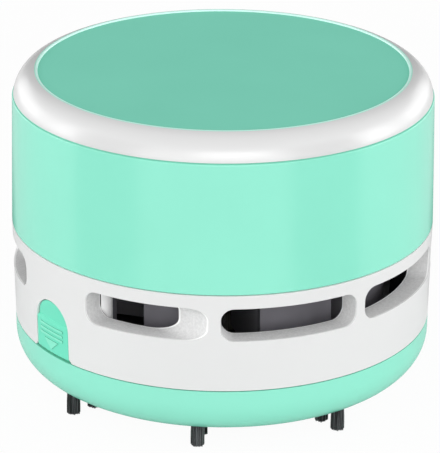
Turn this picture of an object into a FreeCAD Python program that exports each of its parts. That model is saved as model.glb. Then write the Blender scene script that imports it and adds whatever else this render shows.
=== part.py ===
"""Desktop mini vacuum cleaner: a round, battery-driven crumb sweeper that stands on bristle tufts.

Frame: millimetres, +Z up, origin on the table under the middle of the body, front towards -Y.
A heading is measured in degrees from +X towards +Y, seen from above.
"""
import FreeCAD
import Part
import Sketcher
import math
import os

from FreeCAD import Placement, Rotation, Vector

# Driving dimensions, one cell each
SIZES = {
    # Outside of the body, from the table up
    "body_radius": 42.5,
    "ring_draft": 0.4,
    "wall_draft": 0.5,
    "bristle_reach": 3.5,
    "cup_height": 10.3,
    "seam_gap": 0.2,
    "seam_depth": 0.5,
    "ring_height": 19.9,
    "wall_height": 26.3,
    "crown_height": 4.89,
    "running_gap": 0.3,
    "overrun": 5.0,
    # Dust cup
    "cup_wall": 2.2,
    "cup_floor": 1.8,
    "cup_round": 7.5,
    "cup_inner_round": 4.0,
    "ledge_height": 1.6,
    "ledge_slope_height": 2.6,
    "collar_wall": 1.5,
    "collar_height": 2.2,
    "seal_height": 0.5,
    "seal_inset": 0.15,
    # Bristle tufts
    "tuft_tip_radius": 1.4,
    "tuft_root_radius": 1.2,
    "tuft_length": 5.6,
    "tuft_boss_radius": 1.9,
    "tuft_boss_height": 3.5,
    "tuft_boss_foot": 1.65,
    "tuft_heading": -97.1,
    "tuft_inset": 4.8,
    "tuft_pair_pitch": 5.0,
    # Suction nozzle
    "nozzle_length": 26.0,
    "nozzle_width": 11.0,
    "nozzle_wall": 1.2,
    "nozzle_inset": 16.4,
    "nozzle_height": 7.5,
    "nozzle_flange": 1.1,
    "nozzle_flange_height": 0.9,
    # Release button
    "button_heading": -142.5,
    "button_width": 10.4,
    "button_height": 11.2,
    "button_foot_gap": 0.15,
    "button_side_gap": 0.2,
    "button_thickness": 1.8,
    "button_inset": 0.05,
    "button_web_height": 1.5,
    "button_leg_width": 9.0,
    "button_leg_depth": 1.6,
    "button_leg_drop": 4.3,
    "button_wall_gap": 0.4,
    "button_travel": 1.5,
    "notch_flare": 0.8,
    "hook_rise": 6.9,
    "hook_height": 7.6,
    "hook_wall": 0.8,
    "hook_gap": 0.5,
    "hook_width": 7.0,
    "barb_width": 4.0,
    "barb_height": 1.2,
    "tongue_height": 1.5,
    "strike_depth": 0.9,
    "strike_gap": 0.3,
    "face_relief": 0.2,
    "face_bevel": 0.3,
    "scoop_rise": 6.6,
    "scoop_slope": 0.4,
    "scoop_depth": 0.45,
    "ridge_height": 0.5,
    "ridge_rise": 3.5,
    "arrow_width": 4.6,
    "arrow_height": 2.0,
    "arrow_rise": 0.95,
    "guide_wall": 1.2,
    "guide_side_gap": 0.4,
    "guide_height": 9.9,
    "guide_foot": 1.5,
    "button_spring_length": 4.0,
    "button_spring_radius": 1.4,
    "button_spring_wire": 0.35,
    "button_spring_rise": 8.0,
    # Vent ring
    "ring_wall": 4.5,
    "vent_heading": -142.1,
    "slot_foot": 10.4,
    "slot_height": 6.8,
    "slot_corner": 2.6,
    "slot_tool_inset": 2.0,
    "first_slot_start": 13.7,
    "first_slot_span": 35.2,
    "slot_span": 38.0,
    "web_span": 2.9,
    "ramp_turn": 51.3,
    "ramp_length": 18.5,
    "boss_inset": 1.7,
    "boss_radius": 1.9,
    "boss_foot": 4.4,
    "boss_top_drop": 2.5,
    "near_boss_offset": 12.5,
    "far_boss_offset": 132.2,
    # Screws
    "screw_radius": 0.95,
    "screw_hole_radius": 1.0,
    "screw_head_radius": 1.6,
    "screw_head_height": 1.2,
    "screw_drive_radius": 0.7,
    "screw_drive_depth": 0.6,
    "sunk_head_height": 0.9,
    "long_screw_length": 7.0,
    "short_screw_length": 5.5,
    "motor_screw_length": 3.6,
    # Fan shroud and filter
    "eye_radius": 11.5,
    "eye_plate_rise": 8.4,
    "shroud_wall": 1.3,
    "shroud_rim_height": 1.6,
    "shroud_cone_inset": 2.8,
    "filter_radius": 14.6,
    "filter_height": 3.0,
    "filter_ring_wall": 2.4,
    "filter_bar_width": 1.2,
    "filter_bar_height": 1.0,
    "filter_cloth_height": 0.5,
    "socket_wall": 1.1,
    "socket_height": 2.3,
    "socket_gap": 0.1,
    # Impeller
    "blade_count": 9,
    "blade_heading": -116.1,
    "blade_wall": 1.2,
    "blade_tip_span": 26.0,
    "impeller_inset": 0.3,
    "blade_root_radius": 10.0,
    "impeller_plate": 1.0,
    "impeller_top_gap": 0.6,
    "shroud_running_gap": 0.5,
    "hub_radius": 4.5,
    "hub_foot_rise": 3.0,
    # Motor
    "shaft_radius": 1.0,
    "shaft_rise": 1.0,
    "shaft_tail": 1.0,
    "bearing_gap": 0.04,
    "motor_radius": 10.2,
    "motor_half_flat": 7.7,
    "can_height": 20.1,
    "can_wall": 0.8,
    "end_cap_height": 3.0,
    "motor_nose_radius": 3.1,
    "motor_nose_height": 1.6,
    "nose_gap": 0.2,
    "bushing_radius": 2.3,
    "front_bushing_height": 2.6,
    "rear_bushing_height": 2.2,
    "magnet_wall": 1.9,
    "magnet_half_width": 5.6,
    "magnet_foot": 2.4,
    "magnet_height": 15.5,
    "core_radius": 6.5,
    "core_foot": 4.2,
    "core_height": 10.0,
    "core_hub_radius": 2.5,
    "pole_shoe_wall": 0.9,
    "pole_shoe_span": 96.0,
    "tooth_width": 2.4,
    "winding_width": 4.6,
    "winding_inner": 2.9,
    "winding_outer": 5.0,
    "winding_overhang": 1.1,
    "commutator_radius": 2.6,
    "commutator_height": 3.2,
    "commutator_gap": 1.6,
    "brush_gap": 0.3,
    "brush_width": 2.0,
    "brush_height": 0.6,
    "brush_drop": 2.4,
    "terminal_place": 6.0,
    "terminal_wall": 0.6,
    "terminal_rise": 2.0,
    "motor_screw_place": 6.6,
    # Wall of the upper body
    "shell_wall": 1.8,
    "shell_edge_round": 0.3,
    "flange_height": 1.6,
    "flange_width": 6.0,
    "post_radius": 2.2,
    "post_inset": 3.2,
    "post_height": 6.5,
    "post_heading": 30.0,
    # Battery tray and cells
    "tray_floor": 1.5,
    "tray_edge_gap": 0.3,
    "tray_wall": 1.2,
    "tray_wall_height": 12.5,
    "motor_hole_half_length": 14.5,
    "saddle_height": 3.5,
    "saddle_wall": 1.5,
    "saddle_place": 14.0,
    "cell_radius": 7.25,
    "cell_length": 49.3,
    "cell_nub_radius": 2.7,
    "cell_nub_height": 1.2,
    "cell_side_gap": 0.25,
    "cell_floor_gap": 0.3,
    "cell_offset": 17.1,
    "contact_wall": 0.4,
    "contact_half_width": 4.5,
    "contact_foot": 1.0,
    "contact_height": 11.0,
    "contact_tail_width": 3.0,
    "contact_tail_drop": 5.5,
    "contact_spring_length": 4.6,
    "contact_spring_radius": 3.0,
    "contact_spring_wire": 0.5,
    # Slide switch
    "switch_travel": 3.0,
    "switch_rise": 12.5,
    "switch_length": 10.0,
    "switch_depth": 4.5,
    "switch_setback": 5.5,
    "slider_length": 2.4,
    "slider_height": 2.0,
    "slider_sink": 1.5,
    "knob_plate_wall": 0.8,
    "knob_plate_start": 1.1,
    "knob_plate_half_height": 3.6,
    "knob_plate_overlap": 3.2,
    "thumb_length": 4.8,
    "thumb_height": 3.4,
    "thumb_setback": 0.5,
    "thumb_side_gap": 0.3,
    "thumb_rib_wall": 0.5,
    "thumb_rib_depth": 0.5,
    "recess_depth": 1.3,
    "recess_half_length": 7.0,
    "recess_half_height": 3.4,
    "pin_wall": 0.6,
    "pin_place": 2.5,
    "pin_drop": 5.4,
    # Leads
    "lead_radius": 0.55,
    "lead_drop": 3.4,
    "lead_rise": 1.0,
    "lead_turnout": 12.5,
    # Lid
    "bezel_inset": 0.22,
    "shoulder_round": 5.6,
    "shoulder_drop": 0.6,
    "skirt_wall": 1.3,
    "skirt_height": 3.4,
    "bezel_wall": 1.6,
    "seat_depth": 2.1,
    "seat_width": 4.2,
    "panel_inset": 4.8,
    "panel_gap": 0.1,
    "panel_wall": 1.8,
    "panel_bevel": 0.4,
    "pad_half_length": 18.0,
    "pad_width": 5.2,
    "pad_gap": 0.4,
}

# Eighths of a turn between tuft pairs; the two at the sides stay free
TUFT_STEPS = (0, 1, 3, 4, 5, 7)
TUFT_STEPS_PER_TURN = 8
POLE_COUNT = 3
FILTER_BAR_COUNT = 2
POST_COUNT = 3
THUMB_RIB_COUNT = 3
GRIP_RIDGE_COUNT = 3
COIL_TURNS = 4
FULL_TURN = 360.0


class Size:
    """A length or an angle: its number now, and the sheet formula that it follows."""

    def __init__(self, number, formula):
        self.number = number
        self.formula = formula

    def __add__(self, other):
        return join(self, "+", other, self.number + as_size(other).number)

    def __sub__(self, other):
        return join(self, "-", other, self.number - as_size(other).number)

    def __mul__(self, other):
        return join(self, "*", other, self.number * as_size(other).number)

    def __truediv__(self, other):
        return join(self, "/", other, self.number / as_size(other).number)

    def __neg__(self):
        return Size(-self.number, f"(0 - {self.formula})")

    __rmul__ = __mul__

    def sine(self):
        return Size(math.sin(math.radians(self.number)), f"sin({self.formula})")

    def cosine(self):
        return Size(math.cos(math.radians(self.number)), f"cos({self.formula})")


def as_size(value):
    return value if isinstance(value, Size) else Size(float(value), repr(float(value)))


def join(left, sign, right, number):
    return Size(number, f"({left.formula} {sign} {as_size(right).formula})")


NOTHING = Size(0.0, "0")

document = FreeCAD.newDocument("mini_vacuum")
sheet = document.addObject("Spreadsheet::Sheet", "Sizes")
for row, (name, number) in enumerate(SIZES.items(), 1):
    sheet.set(f"A{row}", name)
    sheet.set(f"B{row}", str(number))
    sheet.setAlias(f"B{row}", name)
document.recompute()


class Sheet:
    """Reads a size by its alias, as size.cup_wall."""

    def __getattr__(self, alias):
        return Size(float(SIZES[alias]), f"Sizes.{alias}")


size = Sheet()


# Heights and radii that several pieces share
cup_foot = size.bristle_reach
cup_inner_floor = cup_foot + size.cup_floor
cup_rim = cup_foot + size.cup_height
ring_foot_radius = size.body_radius - size.ring_draft
wall_top_radius = size.body_radius - size.wall_draft
cup_inner_radius = ring_foot_radius - size.cup_wall
outer_tuft_ring = ring_foot_radius - size.tuft_inset
inner_tuft_ring = outer_tuft_ring - size.tuft_pair_pitch
nozzle_back = cup_inner_radius - size.nozzle_inset
ring_foot = cup_rim + size.seam_gap
ring_top = ring_foot + size.ring_height
ring_bore = size.body_radius - size.ring_wall
wall_top = ring_top + size.wall_height
bezel_foot = wall_top + size.seam_gap
crown_top = bezel_foot + size.crown_height
boss_ring = ring_bore - size.boss_inset
shroud_cone_radius = boss_ring - size.shroud_cone_inset
impeller_radius = shroud_cone_radius - size.impeller_inset
collar_radius = ring_bore - size.running_gap
collar_top = cup_rim + size.collar_height
collar_bore = collar_radius - size.collar_wall
boss_foot = ring_foot + size.boss_foot
boss_top = ring_top - size.boss_top_drop
shroud_rim_foot = boss_foot - size.shroud_rim_height
eye_plate_foot = cup_foot + size.eye_plate_rise
eye_plate_top = eye_plate_foot + size.shroud_wall
motor_foot = ring_top
can_top = motor_foot + size.can_height
cap_top = can_top + size.end_cap_height
shell_bore = wall_top_radius - size.shell_wall
flange_bore_radius = shell_bore - size.flange_width
post_ring = shell_bore - size.post_inset
panel_radius = wall_top_radius - size.panel_inset
seat_bore_radius = panel_radius - size.seat_width
switch_face = size.body_radius - size.switch_setback
recess_face = size.body_radius - size.recess_depth
thumb_face = size.body_radius - size.thumb_setback
flange_top = ring_top + size.flange_height
tray_foot = flange_top + size.post_height
tray_floor_top = tray_foot + size.tray_floor
cell_axis_height = tray_floor_top + size.cell_floor_gap + size.cell_radius
cell_top = cell_axis_height + size.cell_radius
cell_full_length = size.cell_length + size.cell_nub_height
contact_face = (cell_full_length + size.contact_spring_length) / 2
switch_height = flange_top + size.switch_rise
panel_seat = crown_top - size.seat_depth
lead_height = tray_foot - size.lead_drop


def bind(piece, **formulas):
    for prop, length in formulas.items():
        piece.setExpression(prop, as_size(length).formula)


def put(piece, x=NOTHING, y=NOTHING, z=NOTHING, rotation=None):
    x, y, z = as_size(x), as_size(y), as_size(z)
    piece.Placement = Placement(Vector(x.number, y.number, z.number), rotation or Rotation())
    piece.setExpression("Placement.Base.x", x.formula)
    piece.setExpression("Placement.Base.y", y.formula)
    piece.setExpression("Placement.Base.z", z.formula)
    return piece


def turn(piece, heading):
    """Turns a finished piece or tool, built pointing along +X, about the body's axis."""
    piece.Placement = Placement(Vector(), Rotation(Vector(0, 0, 1), heading.number))
    piece.setExpression("Placement.Rotation.Angle", heading.formula)
    return piece


def new(kind, label):
    piece = document.addObject(kind, label)
    piece.Label = label
    return piece


def cylinder(label, radius, foot, top, x=NOTHING, y=NOTHING):
    piece = new("Part::Cylinder", label)
    bind(piece, Radius=radius, Height=top - foot)
    return put(piece, x, y, foot)


def rod_along_x(label, radius, start, end, y, z):
    piece = new("Part::Cylinder", label)
    bind(piece, Radius=radius, Height=end - start)
    return put(piece, start, y, z, Rotation(Vector(0, 1, 0), 90))


def cone(label, foot_radius, top_radius, foot, top, x=NOTHING, y=NOTHING):
    piece = new("Part::Cone", label)
    bind(piece, Radius1=foot_radius, Radius2=top_radius, Height=top - foot)
    return put(piece, x, y, foot)


def box(label, x_span, y_span, z_span):
    piece = new("Part::Box", label)
    bind(piece, Length=x_span[1] - x_span[0], Width=y_span[1] - y_span[0], Height=z_span[1] - z_span[0])
    return put(piece, x_span[0], y_span[0], z_span[0])


def fuse(label, *pieces):
    if len(pieces) == 1:
        return pieces[0]
    piece = new("Part::MultiFuse", label)
    piece.Shapes = list(pieces)
    piece.Refine = True
    return piece


def cut(label, base, *tools):
    piece = new("Part::Cut", label)
    piece.Base = base
    piece.Tool = fuse(f"{label}_tools", *tools)
    piece.Refine = True
    return piece


def common(label, first, second):
    piece = new("Part::MultiCommon", label)
    piece.Shapes = [first, second]
    piece.Refine = True
    return piece


def group(label, pieces):
    piece = new("Part::Compound", label)
    piece.Links = list(pieces)
    return piece


def tube(label, outer, inner, foot, top):
    return cut(label, cylinder(f"{label}_outer", outer, foot, top),
               cylinder(f"{label}_bore", inner, foot, top))


def both_sides(half):
    return (-half, half)


def corner_constraint(sketch, axis, line, length):
    """Ties one coordinate of a line's start to the sheet, or to the axis where it is zero."""
    if length is NOTHING:
        axis_line = -2 if axis == "DistanceX" else -1
        sketch.addConstraint(Sketcher.Constraint("PointOnObject", line, 1, axis_line))
        return
    index = sketch.addConstraint(Sketcher.Constraint(axis, -1, 1, line, 1, length.number))
    sketch.setExpression(f"Constraints[{index}]", length.formula)


def draw_loops(sketch, loops):
    """Draws closed outlines of straight runs, every corner tied to the sheet."""
    for corners in loops:
        first = sketch.GeometryCount
        following = corners[1:] + corners[:1]
        for (u, v), (next_u, next_v) in zip(corners, following):
            start, end = Vector(u.number, v.number, 0), Vector(next_u.number, next_v.number, 0)
            sketch.addGeometry(Part.LineSegment(start, end), False)
        for step, (u, v) in enumerate(corners):
            after = first + (step + 1) % len(corners)
            sketch.addConstraint(Sketcher.Constraint("Coincident", first + step, 2, after, 1))
            corner_constraint(sketch, "DistanceX", first + step, u)
            corner_constraint(sketch, "DistanceY", first + step, v)


def body_sketch(body, name, plane, loops):
    sketch = body.newObject("Sketcher::SketchObject", name)
    support = [feature for feature in body.Origin.OriginFeatures if feature.Role == plane][0]
    sketch.AttachmentSupport = (support, [""])
    sketch.MapMode = "FlatFace"
    draw_loops(sketch, loops)
    return sketch


def turned_body(label, corners):
    """A body turned about the axis from an outline of (radius, height) corners."""
    body = new("PartDesign::Body", label)
    sketch = body_sketch(body, f"{label}_outline", "XZ_Plane", [corners])
    revolution = body.newObject("PartDesign::Revolution", f"{label}_turned")
    revolution.Profile = sketch
    revolution.ReferenceAxis = (sketch, ["V_Axis"])
    revolution.Angle = FULL_TURN
    body.Tip = revolution
    document.recompute()
    return body


def round_edges(body, radius, wanted):
    """Rounds those edges of a body's last feature for which wanted(edge) is true."""
    last = body.Tip
    names = [f"Edge{place}" for place, edge in enumerate(last.Shape.Edges, 1) if wanted(edge)]
    fillet = body.newObject("PartDesign::Fillet", f"{body.Label}_rounds")
    fillet.Base = (last, names)
    bind(fillet, Radius=radius)
    body.Tip = fillet
    document.recompute()
    return fillet


NEAR = 1e-4


def is_ring(edge, radius, height):
    """True for a full circle of this radius about the body's axis at this height."""
    curve = edge.Curve
    if not isinstance(curve, Part.Circle):
        return False
    return abs(curve.Radius - radius.number) < NEAR and abs(curve.Center.z - height.number) < NEAR


def polar(radius, heading):
    return radius * heading.cosine(), radius * heading.sine()


def biarc_corner(start, start_way, end, end_way):
    """The two corner points and the meeting point of a pair of arcs between two tangents."""
    chord = end - start
    ways = start_way + end_way
    bend = 2 * (1 - start_way.dot(end_way))
    reach = (-chord.dot(ways) + math.sqrt(chord.dot(ways) ** 2 + bend * chord.dot(chord))) / bend
    first_corner = start + start_way * reach
    second_corner = end - end_way * reach
    return first_corner, (first_corner + second_corner) / 2, second_corner


def arc_at_corner(start, corner, end):
    """The arc that leaves start and reaches end along the two sides of a corner."""
    middle = (start + end) / 2
    half_chord = (end - start).Length / 2
    rise = (corner - middle).Length
    sagitta = half_chord * math.tan(math.atan(rise / half_chord) / 2)
    return Part.Arc(start, middle + (corner - middle).normalize() * sagitta, end).toShape()


ARCS_PER_TURN = 4


def coil(radius, length, wire_radius):
    """An open compression coil along +X from the origin, one unbroken tube on pairs of arcs."""
    steps = COIL_TURNS * ARCS_PER_TURN
    climb = (length - 2 * wire_radius) / steps
    step_angle = 2 * math.pi / ARCS_PER_TURN
    slope = climb / (radius * step_angle)
    points, ways = [], []
    for step in range(steps + 1):
        angle = step * step_angle
        points.append(Vector(wire_radius + step * climb, radius * math.cos(angle), radius * math.sin(angle)))
        ways.append(Vector(slope, -math.sin(angle), math.cos(angle)).normalize())
    edges = []
    for step in range(steps):
        start, end = points[step], points[step + 1]
        first, middle, second = biarc_corner(start, ways[step], end, ways[step + 1])
        edges.append(arc_at_corner(start, first, middle))
        edges.append(arc_at_corner(middle, second, end))
    section = Part.Wire([Part.Circle(points[0], ways[0], wire_radius).toShape()])
    least_gap = ARCS_PER_TURN * climb - 2 * wire_radius
    print(f"coil: {COIL_TURNS} turns, least gap between turns {least_gap:.2f} mm")
    return Part.Wire(edges).makePipeShell([section], True, False)


def lead(points, radius):
    """A wire's insulation along straight runs joined by tangent arcs."""
    spine = []
    start = points[0]
    for before, corner, after in zip(points, points[1:], points[2:]):
        way_in, way_out = (corner - before).normalize(), (after - corner).normalize()
        turning = way_in.getAngle(way_out)
        shorter = min((corner - before).Length, (after - corner).Length)
        setback = shorter * LEAD_SETBACK_SHARE
        arc_start, arc_end = corner - way_in * setback, corner + way_out * setback
        spine.append(Part.LineSegment(start, arc_start).toShape())
        spine.append(arc_at_corner(arc_start, corner, arc_end))
        print(f"lead: bend radius {setback / math.tan(turning / 2):.1f} mm")
        start = arc_end
    spine.append(Part.LineSegment(start, points[-1]).toShape())
    section = Part.Wire([Part.Circle(points[0], points[1] - points[0], radius).toShape()])
    return Part.Wire(spine).makePipeShell([section], True, False)


LEAD_SETBACK_SHARE = 0.42


def shaped(label, shape):
    """A piece whose form is worked out here from the sheet's numbers."""
    piece = new("Part::Feature", label)
    piece.Shape = shape
    return piece


# Dust cup, bristles and suction nozzle

def obround(label, length, width, foot, top):
    """A long hole or plug with round ends, along X, centred on the nozzle's place."""
    half_straight = (length - width) / 2
    span_y = (nozzle_back - width / 2, nozzle_back + width / 2)
    middle = box(f"{label}_middle", both_sides(half_straight), span_y, (foot, top))
    left = cylinder(f"{label}_left", width / 2, foot, top, -half_straight, nozzle_back)
    right = cylinder(f"{label}_right", width / 2, foot, top, half_straight, nozzle_back)
    return fuse(label, middle, left, right)


def tuft_places(ring):
    for step in TUFT_STEPS:
        yield polar(ring, size.tuft_heading + step * FULL_TURN / TUFT_STEPS_PER_TURN)


def tuft_solids(label, ring):
    solids = []
    for number, (x, y) in enumerate(tuft_places(ring), 1):
        name = f"{label}_{number}"
        solids.append(cone(name, size.tuft_tip_radius, size.tuft_root_radius, NOTHING, size.tuft_length, x,
                           y))
    return solids


def bristle_tufts(label, ring):
    return group(label, tuft_solids(label, ring))


def nozzle_blank(label):
    stem = obround(f"{label}_stem", size.nozzle_length, size.nozzle_width, cup_foot,
                   cup_foot + size.nozzle_height)
    flange = obround(f"{label}_flange", size.nozzle_length + size.nozzle_flange * 2,
                     size.nozzle_width + size.nozzle_flange * 2, cup_foot,
                     cup_foot + size.nozzle_flange_height)
    return fuse(label, stem, flange)


def suction_nozzle():
    mouth = obround("nozzle_mouth", size.nozzle_length - size.nozzle_wall * 2,
                    size.nozzle_width - size.nozzle_wall * 2, cup_foot - size.overrun,
                    cup_foot + size.nozzle_height + size.overrun)
    return cut("suction_nozzle", nozzle_blank("nozzle_blank"), mouth)


def button_guide():
    """The spring's back wall and two rails on the cup's floor, built pointing along +X."""
    half_leg = size.button_leg_width / 2 + size.guide_side_gap
    half_out = half_leg + size.guide_wall
    foot, top = cup_foot + size.guide_foot, cup_foot + size.guide_height
    wall_face = button_leg_inner() - size.button_spring_length
    back = box("guide_back", (wall_face - size.guide_wall, wall_face), both_sides(half_out), (foot, top))
    rails = [box(f"guide_rail_{side}", (wall_face, collar_bore), span, (foot, top))
             for side, span in (("left", (half_leg, half_out)), ("right", (-half_out, -half_leg)))]
    return turn(fuse("button_guide", back, *rails), size.button_heading)


def button_leg_inner():
    return cup_inner_radius - size.button_wall_gap - size.button_leg_depth


def button_pocket():
    """Room for the button's leg in the cup's ledge and collar."""
    inner = button_leg_inner() - size.button_travel - size.button_wall_gap
    outer = cup_inner_radius - size.button_wall_gap / 2
    half = size.button_leg_width / 2 + size.guide_side_gap
    foot = ring_foot + size.button_foot_gap - size.button_leg_drop - size.button_wall_gap
    pocket = box("button_pocket_room", (inner, outer), both_sides(half), (foot, collar_top + size.overrun))
    return turn(fuse("button_pocket", pocket,
                     box("button_pocket_floor", (inner, outer - size.button_wall_gap),
                both_sides(half), (foot, collar_top))), size.button_heading)


def base_shell():
    ledge_foot = cup_rim - size.ledge_height
    slope_foot = ledge_foot - size.ledge_slope_height
    body = turned_body("base_blank", [
        (NOTHING, cup_foot),
        (ring_foot_radius, cup_foot),
        (ring_foot_radius, cup_rim),
        (collar_radius, cup_rim),
        (collar_radius, collar_top),
        (collar_bore, collar_top),
        (collar_bore, ledge_foot),
        (cup_inner_radius, slope_foot),
        (cup_inner_radius, cup_inner_floor),
        (NOTHING, cup_inner_floor)])
    round_edges(body, size.cup_round, lambda edge: is_ring(edge, ring_foot_radius, cup_foot))
    round_edges(body, size.cup_inner_round, lambda edge: is_ring(edge, cup_inner_radius, cup_inner_floor))
    bosses = []
    for ring_name, ring in (("outer", outer_tuft_ring), ("inner", inner_tuft_ring)):
        for number, (x, y) in enumerate(tuft_places(ring), 1):
            bosses.append(cylinder(f"{ring_name}_tuft_boss_{number}", size.tuft_boss_radius,
                                   cup_foot + size.tuft_boss_foot, cup_foot + size.tuft_boss_height, x, y))
    whole = fuse("base_whole", body, button_guide(), *bosses)
    sockets = tuft_solids("outer_socket", outer_tuft_ring)
    sockets += tuft_solids("inner_socket", inner_tuft_ring)
    return cut("base_shell", whole, nozzle_blank("nozzle_hole"), button_pocket(), *sockets)


def cup_seal():
    return tube("cup_seal", collar_radius - size.seal_inset, collar_bore + size.seal_inset, collar_top,
                collar_top + size.seal_height)


# Release button

def button_prism(label, width, foot, top, inner, outer, flare=None):
    """An arch-topped slab along +X, as wide as given, with its foot corners flared if asked."""
    half = width / 2
    spring_line = top - half
    slab = box(f"{label}_slab", (inner, outer), both_sides(half), (foot, spring_line))
    arch = rod_along_x(f"{label}_arch", half, inner, outer, NOTHING, spring_line)
    pieces = [slab, arch]
    if flare:
        wedge = new("Sketcher::SketchObject", f"{label}_flare_outline")
        draw_loops(wedge, [[(half + flare, foot), (half, foot + flare), (-half, foot + flare),
                            (-half - flare, foot)]])
        put(wedge, inner, NOTHING, NOTHING, Rotation(Vector(1, 1, 1), 120))
        extrusion = new("Part::Extrusion", f"{label}_flare")
        extrusion.Base = wedge
        extrusion.DirMode = "Custom"
        extrusion.Dir = Vector(1, 0, 0)
        extrusion.Solid = True
        bind(extrusion, LengthFwd=outer - inner)
        pieces.append(extrusion)
    return fuse(label, *pieces)


def face_radius(height):
    """The button's outside follows the ring's taper, a little inside it."""
    rise = (size.body_radius - ring_foot_radius) / size.ring_height
    return ring_foot_radius - size.button_inset + rise * (height - ring_foot)


def button_face_blank():
    """The button's outside as a turned solid: a bevelled foot, a plain face and a thumb scoop."""
    foot = ring_foot + size.button_foot_gap
    bevel_top = foot + size.face_bevel
    scoop_foot = foot + size.scoop_rise
    scoop_floor = scoop_foot + size.scoop_slope
    top = foot + size.button_height
    return turned_body("button_blank", [
        (NOTHING, foot),
        (face_radius(foot) - size.face_bevel, foot),
        (face_radius(bevel_top), bevel_top),
        (face_radius(scoop_foot), scoop_foot),
        (face_radius(scoop_floor) - size.scoop_depth, scoop_floor),
        (face_radius(top), top),
        (NOTHING, top)])


def button_mark_blank():
    foot = ring_foot
    top = foot + size.button_height
    return cone("button_mark_blank", face_radius(foot) + size.face_relief,
                face_radius(top) + size.face_relief,
                foot, top)


def button_relief():
    """Grip ridges and a plain arrow that points down, raised on the button's face."""
    foot = ring_foot + size.button_foot_gap
    inner = ring_foot_radius - size.button_thickness / 2
    outer = size.body_radius
    marks = []
    for number in range(GRIP_RIDGE_COUNT):
        height = foot + size.ridge_rise + number * size.ridge_height * 2
        half = size.button_width * RIDGE_HALF_SHARE
        marks.append(box(f"button_ridge_{number + 1}", (inner, outer), both_sides(half),
                         (height, height + size.ridge_height)))
    arrow = new("Sketcher::SketchObject", "button_arrow_outline")
    arrow_foot = foot + size.arrow_rise
    half = size.arrow_width / 2
    draw_loops(arrow, [[(-half, arrow_foot + size.arrow_height), (NOTHING, arrow_foot),
                        (half, arrow_foot + size.arrow_height)]])
    put(arrow, inner, NOTHING, NOTHING, Rotation(Vector(1, 1, 1), 120))
    extrusion = new("Part::Extrusion", "button_arrow")
    extrusion.Base = arrow
    extrusion.DirMode = "Custom"
    extrusion.Dir = Vector(1, 0, 0)
    extrusion.Solid = True
    bind(extrusion, LengthFwd=outer - inner)
    return common("button_marks", fuse("button_mark_solids", extrusion, *marks), button_mark_blank())


RIDGE_HALF_SHARE = 0.36


def release_button():
    foot = ring_foot + size.button_foot_gap
    top = foot + size.button_height
    inner = ring_foot_radius - size.button_inset - size.button_thickness
    slab = button_prism("button_slab", size.button_width, foot, top, inner, size.body_radius)
    face = common("button_face", slab, button_face_blank())
    half_leg = size.button_leg_width / 2
    leg_inner = button_leg_inner()
    web_outer = inner + size.button_thickness / 2
    web = box("button_web", (leg_inner, web_outer), both_sides(half_leg),
              (foot, foot + size.button_web_height))
    leg = box("button_leg", (leg_inner, leg_inner + size.button_leg_depth), both_sides(half_leg),
              (foot - size.button_leg_drop, foot + size.button_web_height))
    hook_foot = foot + size.hook_rise
    hook_outer = ring_bore - size.hook_gap
    half_hook = size.hook_width / 2
    tongue = box("button_tongue", (hook_outer - size.hook_wall, web_outer), both_sides(half_hook),
                 (hook_foot, hook_foot + size.tongue_height))
    hook = box("button_hook", (hook_outer - size.hook_wall, hook_outer - size.hook_wall / 2),
               both_sides(half_hook), (hook_foot, hook_foot + size.hook_height))
    barb = box("button_barb", (hook_outer - size.hook_wall, hook_outer), both_sides(size.barb_width / 2),
               (hook_foot + size.hook_height - size.barb_height, hook_foot + size.hook_height))
    whole = fuse("release_button", face, button_relief(), web, leg, tongue, hook, barb)
    return turn(whole, size.button_heading)


def button_spring():
    shape = coil(size.button_spring_radius.number, size.button_spring_length.number,
                 size.button_spring_wire.number / 2)
    start = button_leg_inner() - size.button_spring_length
    shape.translate(Vector(start.number, 0, (cup_foot + size.button_spring_rise).number))
    shape.rotate(Vector(), Vector(0, 0, 1), size.button_heading.number)
    return shaped("button_spring", shape)


# Vent ring

def boss_headings():
    offsets = [size.near_boss_offset, size.far_boss_offset]
    return [size.vent_heading + offset * side for offset in offsets for side in (1, -1)]


slot_foot = ring_foot + size.slot_foot
slot_top = slot_foot + size.slot_height


def turned_point(x, y, heading):
    return x * heading.cosine() - y * heading.sine(), x * heading.sine() + y * heading.cosine()


def slot_end_faces(side, start, end, ramped):
    """Where a slot's two end faces lie: heading, distance from the axis, inner side and reach."""
    reach = (ring_bore - size.slot_tool_inset, size.body_radius + size.overrun)
    near_end = (start * side, NOTHING, side, reach)
    if not ramped:
        return near_end, (end * side, NOTHING, -side, reach)
    along = size.body_radius * size.ramp_turn.cosine()
    across = size.body_radius * size.ramp_turn.sine() * -side
    ramp_reach = (along - size.ramp_length, along + size.overrun)
    return near_end, ((end + size.ramp_turn) * side, across, -side, ramp_reach)


def slot_end(label, heading, line, inside, reach):
    """The rounded end of a slot's cutter, its face along the heading."""
    corner = size.slot_corner
    middle = line + corner * inside
    across = (line, middle) if inside > 0 else (middle, line)
    face = box(f"{label}_face", reach, across, (slot_foot + corner, slot_top - corner))
    rounds = [rod_along_x(f"{label}_{name}", corner, reach[0], reach[1], middle, height)
              for name, height in (("low", slot_foot + corner), ("high", slot_top - corner))]
    return turn(fuse(label, face, *rounds), heading)


def slot_middle(faces):
    """The plan of a slot's cutter between its two rounded ends."""
    corners = []
    for (heading, line, inside, reach), order in zip(faces, (1, -1)):
        middle = line + size.slot_corner * inside
        corners += [turned_point(x, middle, heading) for x in reach[::order]]
    return corners


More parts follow.
